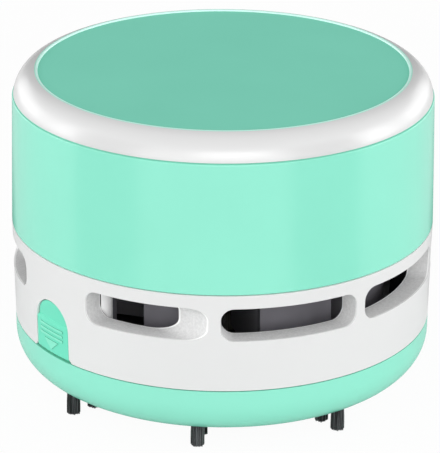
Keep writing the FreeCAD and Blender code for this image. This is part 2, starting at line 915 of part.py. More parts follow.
def vent_slots():
    """The cutter for four slots each side of the button; the first has a slanted far end."""
    loops, ends = [], []
    for side in (1, -1):
        start = size.first_slot_start
        for number in range(1, SLOTS_PER_SIDE + 1):
            ramped = number == 1
            end = start + (size.first_slot_span if ramped else size.slot_span)
            faces = slot_end_faces(side, start, end, ramped)
            loops.append(slot_middle(faces))
            for name, face in zip(("near", "far"), faces):
                ends.append(slot_end(f"slot_{number}_{name}_{'left' if side > 0 else 'right'}", *face))
            start = end + size.web_span
    plan = new("Sketcher::SketchObject", "slot_plan")
    draw_loops(plan, loops)
    put(plan, NOTHING, NOTHING, slot_foot)
    block = new("Part::Extrusion", "slot_block")
    block.Base = plan
    block.DirMode = "Custom"
    block.Dir = Vector(0, 0, 1)
    block.Solid = True
    bind(block, LengthFwd=size.slot_height)
    return turn(fuse("slot_cutter", block, *ends), size.vent_heading)


SLOTS_PER_SIDE = 4


def strike_pocket():
    """The recess in the ring's bore that the button's barb faces."""
    barb_top = ring_foot + size.button_foot_gap + size.hook_rise + size.hook_height
    half = size.barb_width / 2 + size.strike_gap
    return box("strike_pocket", (ring_bore - size.overrun, ring_bore + size.strike_depth), both_sides(half),
               (barb_top - size.barb_height - size.strike_gap, barb_top + size.strike_gap))


WEB_COUNT_TO_SEAM = 1.5


def vent_ring():
    ring = turned_body("ring_blank", [
        (ring_bore, ring_foot),
        (ring_foot_radius, ring_foot),
        (size.body_radius, ring_top),
        (ring_bore, ring_top)])
    # The turned surfaces' seam goes to the middle of a web, where no slot crosses it
    slots_before = size.first_slot_span + size.slot_span
    web_middle = size.first_slot_start + slots_before + size.web_span * WEB_COUNT_TO_SEAM
    turn(ring, size.vent_heading + web_middle)
    notch = button_prism("ring_notch", size.button_width + size.button_side_gap * 2,
                         ring_foot - size.overrun,
                         ring_foot + size.button_foot_gap + size.button_height + size.button_side_gap,
                         ring_bore - size.overrun, size.body_radius + size.overrun)
    flare = button_prism("ring_notch_foot", size.button_width + size.button_side_gap * 2, ring_foot,
                         ring_foot + size.button_width, ring_bore - size.overrun,
                         size.body_radius + size.overrun, size.notch_flare)
    notches = turn(fuse("ring_notches", notch, flare, strike_pocket()), size.button_heading)
    opened = cut("ring_opened", ring, vent_slots(), notches)
    bosses, holes = [], []
    for number, heading in enumerate(boss_headings(), 1):
        x, y = polar(boss_ring, heading)
        bosses.append(cylinder(f"ring_boss_{number}", size.boss_radius, boss_foot, boss_top, x, y))
        holes.append(cylinder(f"ring_boss_hole_{number}", size.screw_hole_radius, boss_foot, boss_top, x, y))
    return cut("vent_ring", fuse("ring_with_bosses", opened, *bosses), *holes)


# Screws

def pan_screw(label, x, y, seat, length):
    """A pan-head screw that points down from its seat, with a round socket for the driver."""
    head_top = seat + size.screw_head_height
    head = cylinder(f"{label}_head", size.screw_head_radius, seat, head_top, x, y)
    shank = cylinder(f"{label}_shank", size.screw_radius, seat - length, seat, x, y)
    drive = cylinder(f"{label}_drive", size.screw_drive_radius, head_top - size.screw_drive_depth, head_top,
                     x, y)
    return cut(label, fuse(f"{label}_blank", head, shank), drive)


def sunk_head(label, x, y, seat, radius):
    """A countersunk head that points up from a face below it."""
    return cone(label, size.screw_head_radius, radius, seat, seat + size.sunk_head_height, x, y)


def sunk_screw(label, x, y, seat, length):
    """A countersunk screw that points up, its head flush with the face at seat."""
    head = sunk_head(f"{label}_head", x, y, seat, size.screw_radius)
    shank = cylinder(f"{label}_shank", size.screw_radius, seat, seat + length, x, y)
    drive = cylinder(f"{label}_drive", size.screw_drive_radius, seat, seat + size.screw_drive_depth, x, y)
    return cut(label, fuse(f"{label}_blank", head, shank), drive)


def sunk_hole(label, x, y, seat, top):
    return fuse(label, sunk_head(f"{label}_sink", x, y, seat, size.screw_hole_radius),
                cylinder(f"{label}_shaft", size.screw_hole_radius, seat, top, x, y))


def chassis_screws():
    places = [polar(boss_ring, heading) for heading in boss_headings()]
    return group("chassis_screws",
                 [pan_screw(f"chassis_screw_{number}", x, y, flange_top, size.long_screw_length)
                                    for number, (x, y) in enumerate(places, 1)])


def shroud_screws():
    places = [polar(boss_ring, heading) for heading in boss_headings()]
    return group("shroud_screws",
                 [sunk_screw(f"shroud_screw_{number}", x, y, shroud_rim_foot, size.short_screw_length)
                                   for number, (x, y) in enumerate(places, 1)])


def motor_screw_places():
    return [(size.motor_screw_place * side, NOTHING) for side in (1, -1)]


def motor_screws():
    return group("motor_screws", [sunk_screw(f"motor_screw_{number}", x, y, boss_top, size.motor_screw_length)
                                  for number, (x, y) in enumerate(motor_screw_places(), 1)])


def post_places():
    for step in range(POST_COUNT):
        yield polar(post_ring, size.post_heading + step * FULL_TURN / POST_COUNT)


def tray_screws():
    return group("tray_screws",
                 [pan_screw(f"tray_screw_{number}", x, y, tray_floor_top, size.short_screw_length)
                                 for number, (x, y) in enumerate(post_places(), 1)])


# Fan shroud, filter and impeller

def fan_shroud():
    socket_bore = size.filter_radius + size.socket_gap
    socket_outer = socket_bore + size.socket_wall
    body = turned_body("shroud_blank", [
        (size.eye_radius, eye_plate_foot),
        (socket_bore, eye_plate_foot),
        (socket_bore, eye_plate_foot - size.socket_height),
        (socket_outer, eye_plate_foot - size.socket_height),
        (socket_outer, eye_plate_foot),
        (shroud_cone_radius, shroud_rim_foot),
        (collar_radius, shroud_rim_foot),
        (collar_radius, boss_foot),
        (shroud_cone_radius, boss_foot),
        (socket_outer, eye_plate_top),
        (size.eye_radius, eye_plate_top)])
    holes = []
    for number, heading in enumerate(boss_headings(), 1):
        x, y = polar(boss_ring, heading)
        holes.append(sunk_hole(f"shroud_hole_{number}", x, y, shroud_rim_foot, boss_foot))
    hook_inner = ring_bore - size.hook_gap - size.hook_wall - size.button_travel - size.guide_side_gap
    room = box("shroud_notch_room", (hook_inner, ring_bore + size.overrun),
               both_sides(size.hook_width / 2 + size.guide_side_gap),
               (shroud_rim_foot - size.overrun, boss_foot + size.overrun))
    notch = turn(group("shroud_notch", [room]), size.button_heading)
    return cut("fan_shroud", body, notch, *holes)


def filter_frame():
    foot = eye_plate_foot - size.filter_height
    bore = size.filter_radius - size.filter_ring_wall
    ring = tube("filter_ring", size.filter_radius, bore, foot, eye_plate_foot)
    half = size.filter_bar_width / 2
    bars = []
    for number in range(FILTER_BAR_COUNT):
        bar = box(f"filter_bar_{number + 1}", both_sides(bore + size.filter_ring_wall / 2), both_sides(half),
                  (foot, foot + size.filter_bar_height))
        bars.append(turn(fuse(f"filter_bar_turned_{number + 1}", bar,
                              cylinder(f"filter_boss_{number + 1}", size.filter_bar_width, foot,
                                       foot + size.filter_bar_height)),
                         size.button_heading + number * FULL_TURN / 4))
    return fuse("filter_frame", ring, *bars)


def filter_mesh():
    foot = eye_plate_foot - size.filter_height + size.filter_bar_height
    return cylinder("filter_mesh", size.filter_radius - size.filter_ring_wall, foot,
                    foot + size.filter_cloth_height)


def blade_tip(number, foot, top):
    """The broad plate that runs along the rim from the end of a blade."""
    ring = tube(f"blade_tip_ring_{number}", impeller_radius, impeller_radius - size.blade_wall, foot, top)
    sector = new("Part::Cylinder", f"blade_tip_sector_{number}")
    bind(sector, Radius=size.body_radius, Height=top - foot, Angle=size.blade_tip_span)
    put(sector, NOTHING, NOTHING, foot)
    heading = size.blade_heading + number * FULL_TURN / SIZES["blade_count"]
    return turn(common(f"blade_tip_{number}", ring, sector), heading)


def impeller():
    plate_top = boss_top - size.impeller_top_gap
    plate_foot = plate_top - size.impeller_plate
    hub_foot = eye_plate_top + size.hub_foot_rise
    body = turned_body("impeller_blank", [
        (size.shaft_radius, hub_foot),
        (size.hub_radius, hub_foot),
        (size.hub_radius, plate_foot),
        (impeller_radius, plate_foot),
        (impeller_radius, plate_top),
        (size.shaft_radius, plate_top)])
    blade_foot = eye_plate_top + size.shroud_running_gap
    blade_outer_foot = boss_foot + size.shroud_running_gap
    cone_start = size.filter_radius + size.socket_gap + size.socket_wall
    outline = [
        (size.blade_root_radius, blade_foot),
        (cone_start, blade_foot),
        (impeller_radius, blade_outer_foot),
        (impeller_radius, plate_foot + size.impeller_plate / 2),
        (size.blade_root_radius, plate_foot + size.impeller_plate / 2)]
    sketch = body_sketch(body, "blade_outline", "XZ_Plane", [outline])
    blade = body.newObject("PartDesign::Pad", "blade")
    blade.Profile = sketch
    blade.Midplane = True
    bind(blade, Length=size.blade_wall)
    body.Tip = blade
    document.recompute()
    pattern = body.newObject("PartDesign::PolarPattern", "blades")
    pattern.Originals = [blade]
    axis = [feature for feature in body.Origin.OriginFeatures if feature.Role == "Z_Axis"][0]
    pattern.Axis = (axis, [""])
    pattern.Angle = FULL_TURN
    pattern.Occurrences = int(SIZES["blade_count"])
    bind(pattern, Occurrences=size.blade_count)
    body.Tip = pattern
    tips = [blade_tip(number, blade_outer_foot, plate_foot + size.impeller_plate / 2)
            for number in range(int(SIZES["blade_count"]))]
    return fuse("impeller", turn(body, size.blade_heading), *tips)


# Motor

def chassis_plate():
    plate = cylinder("chassis_blank", collar_radius, boss_top, ring_top)
    nose = cylinder("chassis_nose_hole", size.motor_nose_radius + size.nose_gap, boss_top, ring_top)
    holes = [nose]
    for number, heading in enumerate(boss_headings(), 1):
        x, y = polar(boss_ring, heading)
        holes.append(cylinder(f"chassis_hole_{number}", size.screw_hole_radius, boss_top, ring_top, x, y))
    for number, (x, y) in enumerate(motor_screw_places(), 1):
        holes.append(sunk_hole(f"chassis_motor_hole_{number}", x, y, boss_top, ring_top))
    return cut("chassis_plate", plate, *holes)


def motor_section(label, inset, foot, top):
    """The motor's round section with two flats that face the cells."""
    round_part = cylinder(f"{label}_round", size.motor_radius - inset, foot, top)
    flats = box(f"{label}_flats", both_sides(size.motor_radius), both_sides(size.motor_half_flat - inset),
                (foot, top))
    return common(label, round_part, flats)


def motor_can():
    outside = motor_section("can_outside", NOTHING, motor_foot, can_top)
    nose = cylinder("can_nose", size.motor_nose_radius, motor_foot - size.motor_nose_height, motor_foot)
    inside = motor_section("can_inside", size.can_wall, motor_foot + size.can_wall, can_top)
    nose_foot = motor_foot - size.motor_nose_height
    bearing = cylinder("can_bearing_hole", size.bushing_radius, nose_foot, motor_foot + size.can_wall)
    holes = [cylinder(f"can_screw_hole_{number}", size.screw_hole_radius, motor_foot,
                      motor_foot + size.can_wall, x, y)
             for number, (x, y) in enumerate(motor_screw_places(), 1)]
    return cut("motor_can", fuse("can_blank", outside, nose), inside, bearing, *holes)


def motor_magnets():
    outer = size.motor_radius - size.can_wall
    foot = motor_foot + size.magnet_foot
    top = foot + size.magnet_height
    ring = tube("magnet_ring", outer, outer - size.magnet_wall, foot, top)
    right = common("magnet_right", ring, box("magnet_right_side", (NOTHING, outer),
                   both_sides(size.magnet_half_width), (foot, top)))
    second_ring = tube("magnet_second_ring", outer, outer - size.magnet_wall, foot, top)
    left = common("magnet_left", second_ring, box("magnet_left_side", (-outer, NOTHING),
                  both_sides(size.magnet_half_width), (foot, top)))
    return group("motor_magnets", [right, left])


def terminal_bars(label, foot, top):
    half = size.brush_width / 2
    inner, outer = size.terminal_place, size.terminal_place + size.terminal_wall
    return [box(f"{label}_right", (inner, outer), both_sides(half), (foot, top)),
            box(f"{label}_left", (-outer, -inner), both_sides(half), (foot, top))]


def motor_end_cap():
    cap = motor_section("cap_outside", NOTHING, can_top, cap_top)
    bearing = cylinder("cap_bearing_hole", size.bushing_radius, can_top, cap_top)
    return cut("motor_end_cap", cap, bearing, *terminal_bars("cap_slot", can_top, cap_top))


def motor_bushings():
    front_foot = motor_foot - size.motor_nose_height
    bore = size.shaft_radius + size.bearing_gap
    front = tube("front_bushing", size.bushing_radius, bore, front_foot,
                 front_foot + size.front_bushing_height)
    rear = tube("rear_bushing", size.bushing_radius, bore, cap_top - size.rear_bushing_height, cap_top)
    return group("motor_bushings", [front, rear])


def motor_terminals():
    foot = can_top - size.brush_drop
    top = cap_top + size.terminal_rise
    half = size.brush_width / 2
    arm_inner = size.commutator_radius + size.brush_gap
    arms = [(arm_inner, size.terminal_place), (-size.terminal_place, -arm_inner)]
    terminals = []
    for number, (bar, span) in enumerate(zip(terminal_bars("terminal_bar", foot, top), arms), 1):
        arm = box(f"brush_arm_{number}", span, both_sides(half), (foot, foot + size.brush_height))
        terminals.append(fuse(f"terminal_{number}", bar, arm))
    return group("motor_terminals", terminals)


def motor_shaft():
    foot = eye_plate_top + size.hub_foot_rise - size.shaft_rise
    return cylinder("motor_shaft", size.shaft_radius, foot, cap_top + size.shaft_tail)


def core_tooth(label, number, foot, top):
    return turn(fuse(f"{label}_{number}", box(f"{label}_bar_{number}",
                (size.core_hub_radius / 2, size.core_radius - size.pole_shoe_wall / 2),
                both_sides(size.tooth_width / 2), (foot, top)),
                box(f"{label}_root_{number}", (size.core_hub_radius / 2, size.core_hub_radius),
                    both_sides(size.tooth_width / 2), (foot, top))),
                as_size(number * FULL_TURN / POLE_COUNT))


def pole_shoe(number, foot, top):
    ring = tube(f"shoe_ring_{number}", size.core_radius, size.core_radius - size.pole_shoe_wall, foot, top)
    sector = new("Part::Cylinder", f"shoe_sector_{number}")
    bind(sector, Radius=size.core_radius + size.overrun, Height=top - foot, Angle=size.pole_shoe_span)
    put(sector, NOTHING, NOTHING, foot)
    heading = as_size(number * FULL_TURN / POLE_COUNT) - size.pole_shoe_span / 2
    return turn(common(f"shoe_{number}", ring, sector), heading)


def armature_core():
    foot = motor_foot + size.core_foot
    top = foot + size.core_height
    pieces = [cylinder("core_hub", size.core_hub_radius, foot, top)]
    for number in range(POLE_COUNT):
        pieces.append(core_tooth("core_tooth", number, foot, top))
        pieces.append(pole_shoe(number, foot, top))
    return cut("armature_core", fuse("core_blank", *pieces),
               cylinder("core_bore", size.shaft_radius, foot, top))


def armature_windings():
    foot = motor_foot + size.core_foot
    top = foot + size.core_height
    windings = []
    for number in range(POLE_COUNT):
        block = box(f"winding_block_{number}", (size.winding_inner, size.winding_outer),
                    both_sides(size.winding_width / 2),
                    (foot - size.winding_overhang, top + size.winding_overhang))
        eye = box(f"winding_eye_{number}", (size.winding_inner, size.winding_outer),
                  both_sides(size.tooth_width / 2), (foot, top))
        windings.append(turn(cut(f"winding_{number}", block, eye), as_size(number * FULL_TURN / POLE_COUNT)))
    return group("armature_windings", windings)


def commutator():
    foot = motor_foot + size.core_foot + size.core_height + size.commutator_gap
    return tube("commutator", size.commutator_radius, size.shaft_radius, foot, foot + size.commutator_height)


# Upper body wall

def recess_box():
    half = size.recess_half_length
    return box("switch_recess", both_sides(half), (recess_face, recess_face + size.overrun),
               (switch_height - size.recess_half_height, switch_height + size.recess_half_height))


def thumb_start():
    return -(size.thumb_length + size.switch_travel) / 2


def window_box():
    half_length = (size.thumb_length + size.switch_travel) / 2 + size.thumb_side_gap
    half_height = size.thumb_height / 2 + size.thumb_side_gap
    return box("switch_window", both_sides(half_length), (shell_bore - size.overrun, size.body_radius),
               (switch_height - half_height, switch_height + half_height))


def outer_shell():
    body = turned_body("shell_blank", [
        (flange_bore_radius, ring_top),
        (size.body_radius - size.seam_depth, ring_top),
        (size.body_radius - size.seam_depth, ring_top + size.seam_gap),
        (size.body_radius, ring_top + size.seam_gap),
        (wall_top_radius, wall_top),
        (shell_bore, wall_top),
        (shell_bore, flange_top),
        (flange_bore_radius, flange_top)])
    round_edges(body, size.shell_edge_round, lambda edge: is_ring(edge, wall_top_radius, wall_top))
    posts, holes = [], []
    for number, (x, y) in enumerate(post_places(), 1):
        posts.append(cylinder(f"tray_post_{number}", size.post_radius, ring_top, tray_foot, x, y))
        holes.append(cylinder(f"tray_post_hole_{number}", size.screw_hole_radius, flange_top, tray_foot, x,
                              y))
    for number, heading in enumerate(boss_headings(), 1):
        x, y = polar(boss_ring, heading)
        holes.append(cylinder(f"flange_hole_{number}", size.screw_hole_radius, ring_top, flange_top, x, y))
    return cut("outer_shell", fuse("shell_whole", body, *posts), recess_box(), window_box(), *holes)


# Battery tray, cells and contacts

def cell_room(label, radius, side):
    return rod_along_x(label, radius, -contact_face, contact_face, size.cell_offset * side, cell_axis_height)


def battery_tray():
    floor = cylinder("tray_floor", shell_bore - size.tray_edge_gap, tray_foot, tray_floor_top)
    wall_top_height = tray_floor_top + size.tray_wall_height
    inner_face = size.cell_offset - size.cell_radius - size.cell_side_gap
    outer_face = size.cell_offset + size.cell_radius + size.cell_side_gap
    end_face = contact_face + size.contact_wall
    walls, tools = [floor], []
    for side_name, side in (("rear", 1), ("front", -1)):
        for name, low, high in (("inner", inner_face - size.tray_wall, inner_face),
                                ("outer", outer_face, outer_face + size.tray_wall)):
            span = (low, high) if side > 0 else (-high, -low)
            length = contact_face - size.contact_wall
            walls.append(box(f"tray_{side_name}_{name}_wall", both_sides(length), span,
                             (tray_foot, wall_top_height)))
        saddle_span = (inner_face, outer_face) if side > 0 else (-outer_face, -inner_face)
        for number, place in enumerate((-size.saddle_place, size.saddle_place), 1):
            walls.append(box(f"tray_{side_name}_saddle_{number}", (place - size.saddle_wall / 2,
                             place + size.saddle_wall / 2), saddle_span,
                             (tray_foot, tray_floor_top + size.saddle_height)))
        tools.append(cell_room(f"tray_{side_name}_room", size.cell_radius, side))
        walls.append(box(f"tray_end_wall_{side_name}", (end_face, end_face + size.tray_wall) if side > 0
                         else (-end_face - size.tray_wall, -end_face), both_sides(outer_face),
                         (tray_foot, wall_top_height)))
    tools.append(box("tray_motor_hole", both_sides(size.motor_hole_half_length),
                     both_sides(inner_face - size.tray_wall), (tray_foot, wall_top_height)))
    for number, (x, y) in enumerate(post_places(), 1):
        tools.append(cylinder(f"tray_hole_{number}", size.screw_hole_radius, tray_foot, tray_floor_top, x, y))
    tools += contact_tails("tray_tail_slot")
    tools += pin_bars("tray_pin_slot", tray_foot, tray_floor_top)
    return cut("battery_tray", fuse("tray_blank", *walls), *tools)


def battery_cell(label, side):
    """One cell; the front one points its button end to +X and the rear one to -X."""
    y = size.cell_offset * side
    tip = contact_face
    if side < 0:
        can = rod_along_x(f"{label}_can", size.cell_radius, tip - cell_full_length,
                          tip - size.cell_nub_height, y,
                          cell_axis_height)
        nub = rod_along_x(f"{label}_nub", size.cell_nub_radius, tip - size.cell_nub_height, tip, y,
                          cell_axis_height)
    else:
        can = rod_along_x(f"{label}_can", size.cell_radius, size.cell_nub_height - tip,
                          cell_full_length - tip, y,
                          cell_axis_height)
        nub = rod_along_x(f"{label}_nub", size.cell_nub_radius, -tip, size.cell_nub_height - tip, y,
                          cell_axis_height)
    return fuse(label, can, nub)


def contact_tails(label):
    tails = []
    half = size.contact_tail_width / 2
    for name, side in (("rear", 1), ("front", -1)):
        y = size.cell_offset * side
        tails.append(box(f"{label}_{name}", (contact_face, contact_face + size.contact_wall),
                         (y - half, y + half),
                         (tray_foot - size.contact_tail_drop, tray_floor_top + size.contact_foot)))
    return tails


def contact_tabs():
    foot = tray_floor_top + size.contact_foot
    tabs = []
    for tail, (name, side) in zip(contact_tails("contact_tail"), (("rear", 1), ("front", -1))):
        y = size.cell_offset * side
        plate = box(f"contact_plate_{name}", (contact_face, contact_face + size.contact_wall),
                    (y - size.contact_half_width, y + size.contact_half_width),
                    (foot, foot + size.contact_height))
        tabs.append(fuse(f"contact_tab_{name}", plate, tail))
    return group("contact_tabs", tabs)


def contact_bridge():
    foot = tray_floor_top + size.contact_foot
    half = size.cell_offset + size.contact_half_width
    return box("contact_bridge", (-contact_face - size.contact_wall, -contact_face), both_sides(half),
               (foot, foot + size.contact_height))


def contact_springs():
    springs = []
    for side in (1, -1):
        shape = coil(size.contact_spring_radius.number, size.contact_spring_length.number,
                     size.contact_spring_wire.number / 2)
        start = contact_face - size.contact_spring_length if side > 0 else -contact_face
        shape.translate(Vector(start.number, (size.cell_offset * side).number, cell_axis_height.number))
        springs.append(shape)
    return shaped("contact_springs", Part.Compound(springs))


# Slide switch

def pin_bars(label, foot, top):
    half = size.pin_wall / 2
    y = switch_face - size.switch_depth / 2
    return [box(f"{label}_{name}", (x - half, x + half), (y - half, y + half), (foot, top))
            for name, x in (("right", size.pin_place), ("left", -size.pin_place))]


def switch_housing():
    top = switch_height + size.slider_height / 2 + size.slider_sink
    case = box("switch_case", both_sides(size.switch_length / 2),
               (switch_face - size.switch_depth, switch_face), (tray_floor_top, top))
    start = thumb_start() + (size.thumb_length - size.slider_length) / 2 - size.thumb_side_gap
    end = start + size.slider_length + size.switch_travel + size.thumb_side_gap * 2
    half_height = size.slider_height / 2 + size.thumb_side_gap
    channel = box("switch_channel", (start, end),
                  (switch_face - size.slider_sink - size.thumb_side_gap, switch_face),
                  (switch_height - half_height, switch_height + half_height))
    return cut("switch_housing", case, channel)


def switch_terminals():
    return group("switch_terminals", pin_bars("switch_pin", tray_foot - size.pin_drop + size.lead_rise,
                                              tray_floor_top))


def switch_slider():
    start = thumb_start() + (size.thumb_length - size.slider_length) / 2
    half_height = size.slider_height / 2
    return box("switch_slider", (start, start + size.slider_length),
               (switch_face - size.slider_sink, switch_face + size.knob_plate_start),
               (switch_height - half_height, switch_height + half_height))


def switch_knob():
    plate_inner = switch_face + size.knob_plate_start
    plate_outer = plate_inner + size.knob_plate_wall
    start = thumb_start()
    end = start + size.thumb_length
    half_height = size.thumb_height / 2
    plate = box("knob_plate",
                (start - size.knob_plate_overlap, end + size.switch_travel + size.thumb_rib_depth),
                (plate_inner, plate_outer), (switch_height - size.knob_plate_half_height,
                                             switch_height + size.knob_plate_half_height))
    thumb_base = thumb_face - size.thumb_rib_depth
    thumb = box("knob_thumb", (start, end), (plate_outer, thumb_base),
                (switch_height - half_height, switch_height + half_height))
    ribs = []
    pitch = size.thumb_length / THUMB_RIB_COUNT
    for number in range(THUMB_RIB_COUNT):
        middle = start + pitch * number + pitch / 2
        ribs.append(box(f"knob_rib_{number + 1}",
                        (middle - size.thumb_rib_wall / 2, middle + size.thumb_rib_wall / 2),
                        (thumb_base, thumb_face), (switch_height - half_height, switch_height + half_height)))
    return fuse("switch_knob", plate, thumb, *ribs)


# Leads

def lead_wires():
    """Three leads: motor to front contact, motor to switch, switch to rear contact."""
    low = lead_height.number
    high = (cap_top + size.lead_rise).number
    out = size.lead_turnout.number
    post = (size.terminal_place + size.terminal_wall).number
    radius = size.lead_radius.number
    tab = contact_face.number
    offset = size.cell_offset.number
    pin = size.pin_place.number
    pin_y = (switch_face - size.switch_depth / 2).number
    half_pin = (size.pin_wall / 2).number
    inner_x, inner_y = out * LEAD_SHARES[0], offset * LEAD_SHARES[1]
    motor_to_front = [Vector(-post, 0, high), Vector(-out, 0, high), Vector(-out, 0, low),
                      Vector(-out, -inner_y, low), Vector(inner_x, -offset, low), Vector(tab, -offset, low)]
    motor_to_switch = [Vector(post, 0, high), Vector(out, 0, high), Vector(out, 0, low),
                       Vector(out, inner_y, low), Vector(-pin, pin_y * LEAD_SHARES[2], low),
                       Vector(-pin, pin_y - half_pin, low)]
    switch_to_rear = [Vector(pin + half_pin, pin_y, low), Vector(out * LEAD_SHARES[3], pin_y, low),
                      Vector(tab * LEAD_SHARES[4], offset, low), Vector(tab, offset, low)]
    runs = [lead(points, radius) for points in (motor_to_front, motor_to_switch, switch_to_rear)]
    return shaped("lead_wires", Part.Compound(runs))


LEAD_SHARES = (0.64, 0.76, 0.70, 0.92, 0.76)


# Lid

def lid_bezel():
    skirt_outer = shell_bore - size.running_gap
    skirt_inner = skirt_outer - size.skirt_wall
    block = turned_body("bezel_block", [
        (skirt_inner, bezel_foot - size.skirt_height),
        (skirt_outer, bezel_foot - size.skirt_height),
        (skirt_outer, bezel_foot),
        (size.body_radius, bezel_foot),
        (size.body_radius, crown_top + size.overrun),
        (panel_radius + size.panel_gap, crown_top + size.overrun),
        (panel_radius + size.panel_gap, panel_seat),
        (seat_bore_radius, panel_seat),
        (seat_bore_radius, panel_seat - size.bezel_wall),
        (skirt_inner, panel_seat - size.bezel_wall)])
    ring_radius = wall_top_radius - size.bezel_inset - size.shoulder_round
    height = bezel_foot - size.shoulder_drop
    torus = new("Part::Torus", "shoulder_torus")
    bind(torus, Radius1=ring_radius, Radius2=size.shoulder_round)
    put(torus, NOTHING, NOTHING, height)
    core = cylinder("shoulder_core", ring_radius, height - size.shoulder_round, height + size.shoulder_round)
    return common("lid_bezel", block, fuse("shoulder_blank", torus, core))


def lid_panel():
    top = panel_seat + size.panel_wall
    return turned_body("lid_panel", [
        (NOTHING, panel_seat),
        (panel_radius, panel_seat),
        (panel_radius, top - size.panel_bevel),
        (panel_radius - size.panel_bevel, top),
        (NOTHING, top)])


def battery_pads():
    half = size.pad_width / 2
    pads = [box(f"battery_pad_{name}", both_sides(size.pad_half_length),
                (size.cell_offset * side - half, size.cell_offset * side + half),
                (cell_top + size.pad_gap, panel_seat)) for name, side in (("rear", 1), ("front", -1))]
    return group("battery_pads", pads)


def build_parts():
    return [
        base_shell(),
        suction_nozzle(),
        bristle_tufts("bristle_tufts_outer", outer_tuft_ring),
        bristle_tufts("bristle_tufts_inner", inner_tuft_ring),
        cup_seal(),
        button_spring(),
        release_button(),
        vent_ring(),
        fan_shroud(),
        filter_frame(),
        filter_mesh(),
        shroud_screws(),
        impeller(),
        chassis_plate(),
        motor_can(),
        motor_magnets(),
        motor_end_cap(),
        motor_bushings(),
        motor_terminals(),
        motor_screws(),
        motor_shaft(),
        armature_core(),
        armature_windings(),
        commutator(),
        outer_shell(),
        chassis_screws(),
        battery_tray(),
        tray_screws(),
        battery_cell("battery_cell_front", -1),
        battery_cell("battery_cell_rear", 1),
        contact_tabs(),
        contact_bridge(),
        contact_springs(),
        switch_housing(),
        switch_terminals(),
        switch_slider(),
        switch_knob(),
        lead_wires(),
        lid_bezel(),
        lid_panel(),
        battery_pads(),
    ]


def check(pieces):
    """Stops if any object failed, or if a sub-part's shape is empty or not valid."""
    faults = [item.Label for item in document.Objects if {"Invalid", "Error"} & set(item.State)]
    faults += [piece.Label for piece in pieces if piece.Shape.isNull() or not piece.Shape.isValid()]
    faults += [piece.Label for piece in pieces if not piece.Shape.Solids]
    if faults:
        raise RuntimeError("failed: " + ", ".join(faults))


parts = build_parts()
document.recompute()
check(parts)
os.makedirs("parts", exist_ok=True)
for part in parts:
    part.Shape.exportStep(os.path.join("parts", f"{part.Label}.step"))
    print(f"{part.Label}: {len(part.Shape.Solids)} solids, {part.Shape.Volume:.1f} mm3")
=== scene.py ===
# %% [markdown]
# # A desktop mini vacuum cleaner
#
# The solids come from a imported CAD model, in metres, and every piece made here sits where they say.
# The body stands upright on bristle tufts: a mint dust cup at the foot, a white ring with air slots,
# a mint wall and a white shoulder round a flat mint lid.

# %% The frame
import math

import bmesh
import bpy
from mathutils import Matrix, Vector


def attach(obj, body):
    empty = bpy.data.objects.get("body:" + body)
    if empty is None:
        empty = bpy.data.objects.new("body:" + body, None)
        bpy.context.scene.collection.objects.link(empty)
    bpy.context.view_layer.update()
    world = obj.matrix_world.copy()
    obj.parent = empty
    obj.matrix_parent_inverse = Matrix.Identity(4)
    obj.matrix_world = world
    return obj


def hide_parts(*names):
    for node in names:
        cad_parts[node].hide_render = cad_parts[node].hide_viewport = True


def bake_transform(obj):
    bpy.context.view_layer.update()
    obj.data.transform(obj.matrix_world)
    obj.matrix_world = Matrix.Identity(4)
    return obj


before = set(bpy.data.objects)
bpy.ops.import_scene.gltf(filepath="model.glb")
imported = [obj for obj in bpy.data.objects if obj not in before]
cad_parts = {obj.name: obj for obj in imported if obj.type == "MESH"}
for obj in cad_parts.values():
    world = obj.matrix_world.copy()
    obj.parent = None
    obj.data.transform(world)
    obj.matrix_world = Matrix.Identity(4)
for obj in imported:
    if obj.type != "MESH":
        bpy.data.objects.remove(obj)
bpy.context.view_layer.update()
frame_materials = len(bpy.data.materials)
MM = 0.001
print("CAD nodes:", len(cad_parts))

# %% [markdown]
# ## Camera
#
# The photograph is a product shot from a little above. Its vanishing lines were fitted once, which gives
# a long lens 0.58 m away. The camera keeps those numbers, so a pixel of the render shows the same spot of
# the object as the same pixel of the photograph.

# %% Camera
FRAME_HEIGHT_PX = 453
FOCAL_PX = 2853.65
SENSOR = 36.0
CAMERA_PLACE = (0.0, -0.53682, 0.24768)
LOOK_DOWN = 21.98
CAMERA_ROLL = 0.356
SHIFT_PX = 2.46


def add_camera():
    data = bpy.data.cameras.new("photo_camera")
    data.sensor_width = SENSOR
    data.lens = FOCAL_PX * SENSOR / FRAME_HEIGHT_PX
    data.shift_x = -SHIFT_PX / FRAME_HEIGHT_PX
    data.clip_start = 0.01
    camera = bpy.data.objects.new("photo_camera", data)
    bpy.context.scene.collection.objects.link(camera)
    tilt = Matrix.Rotation(math.radians(90 - LOOK_DOWN), 4, "X")
    roll = Matrix.Rotation(math.radians(CAMERA_ROLL), 4, "Z")
    camera.matrix_world = Matrix.Translation(CAMERA_PLACE) @ tilt @ roll
    bpy.context.scene.camera = camera
    return camera


camera = add_camera()
print("lens:", round(camera.data.lens, 1), "mm")

# %% [markdown]
# ## Shader maths
#
# Node materials are sums and products, so a socket is wrapped in a small class that adds a Math node for
# each operator. `1 - mask * 0.3` then reads as it works.


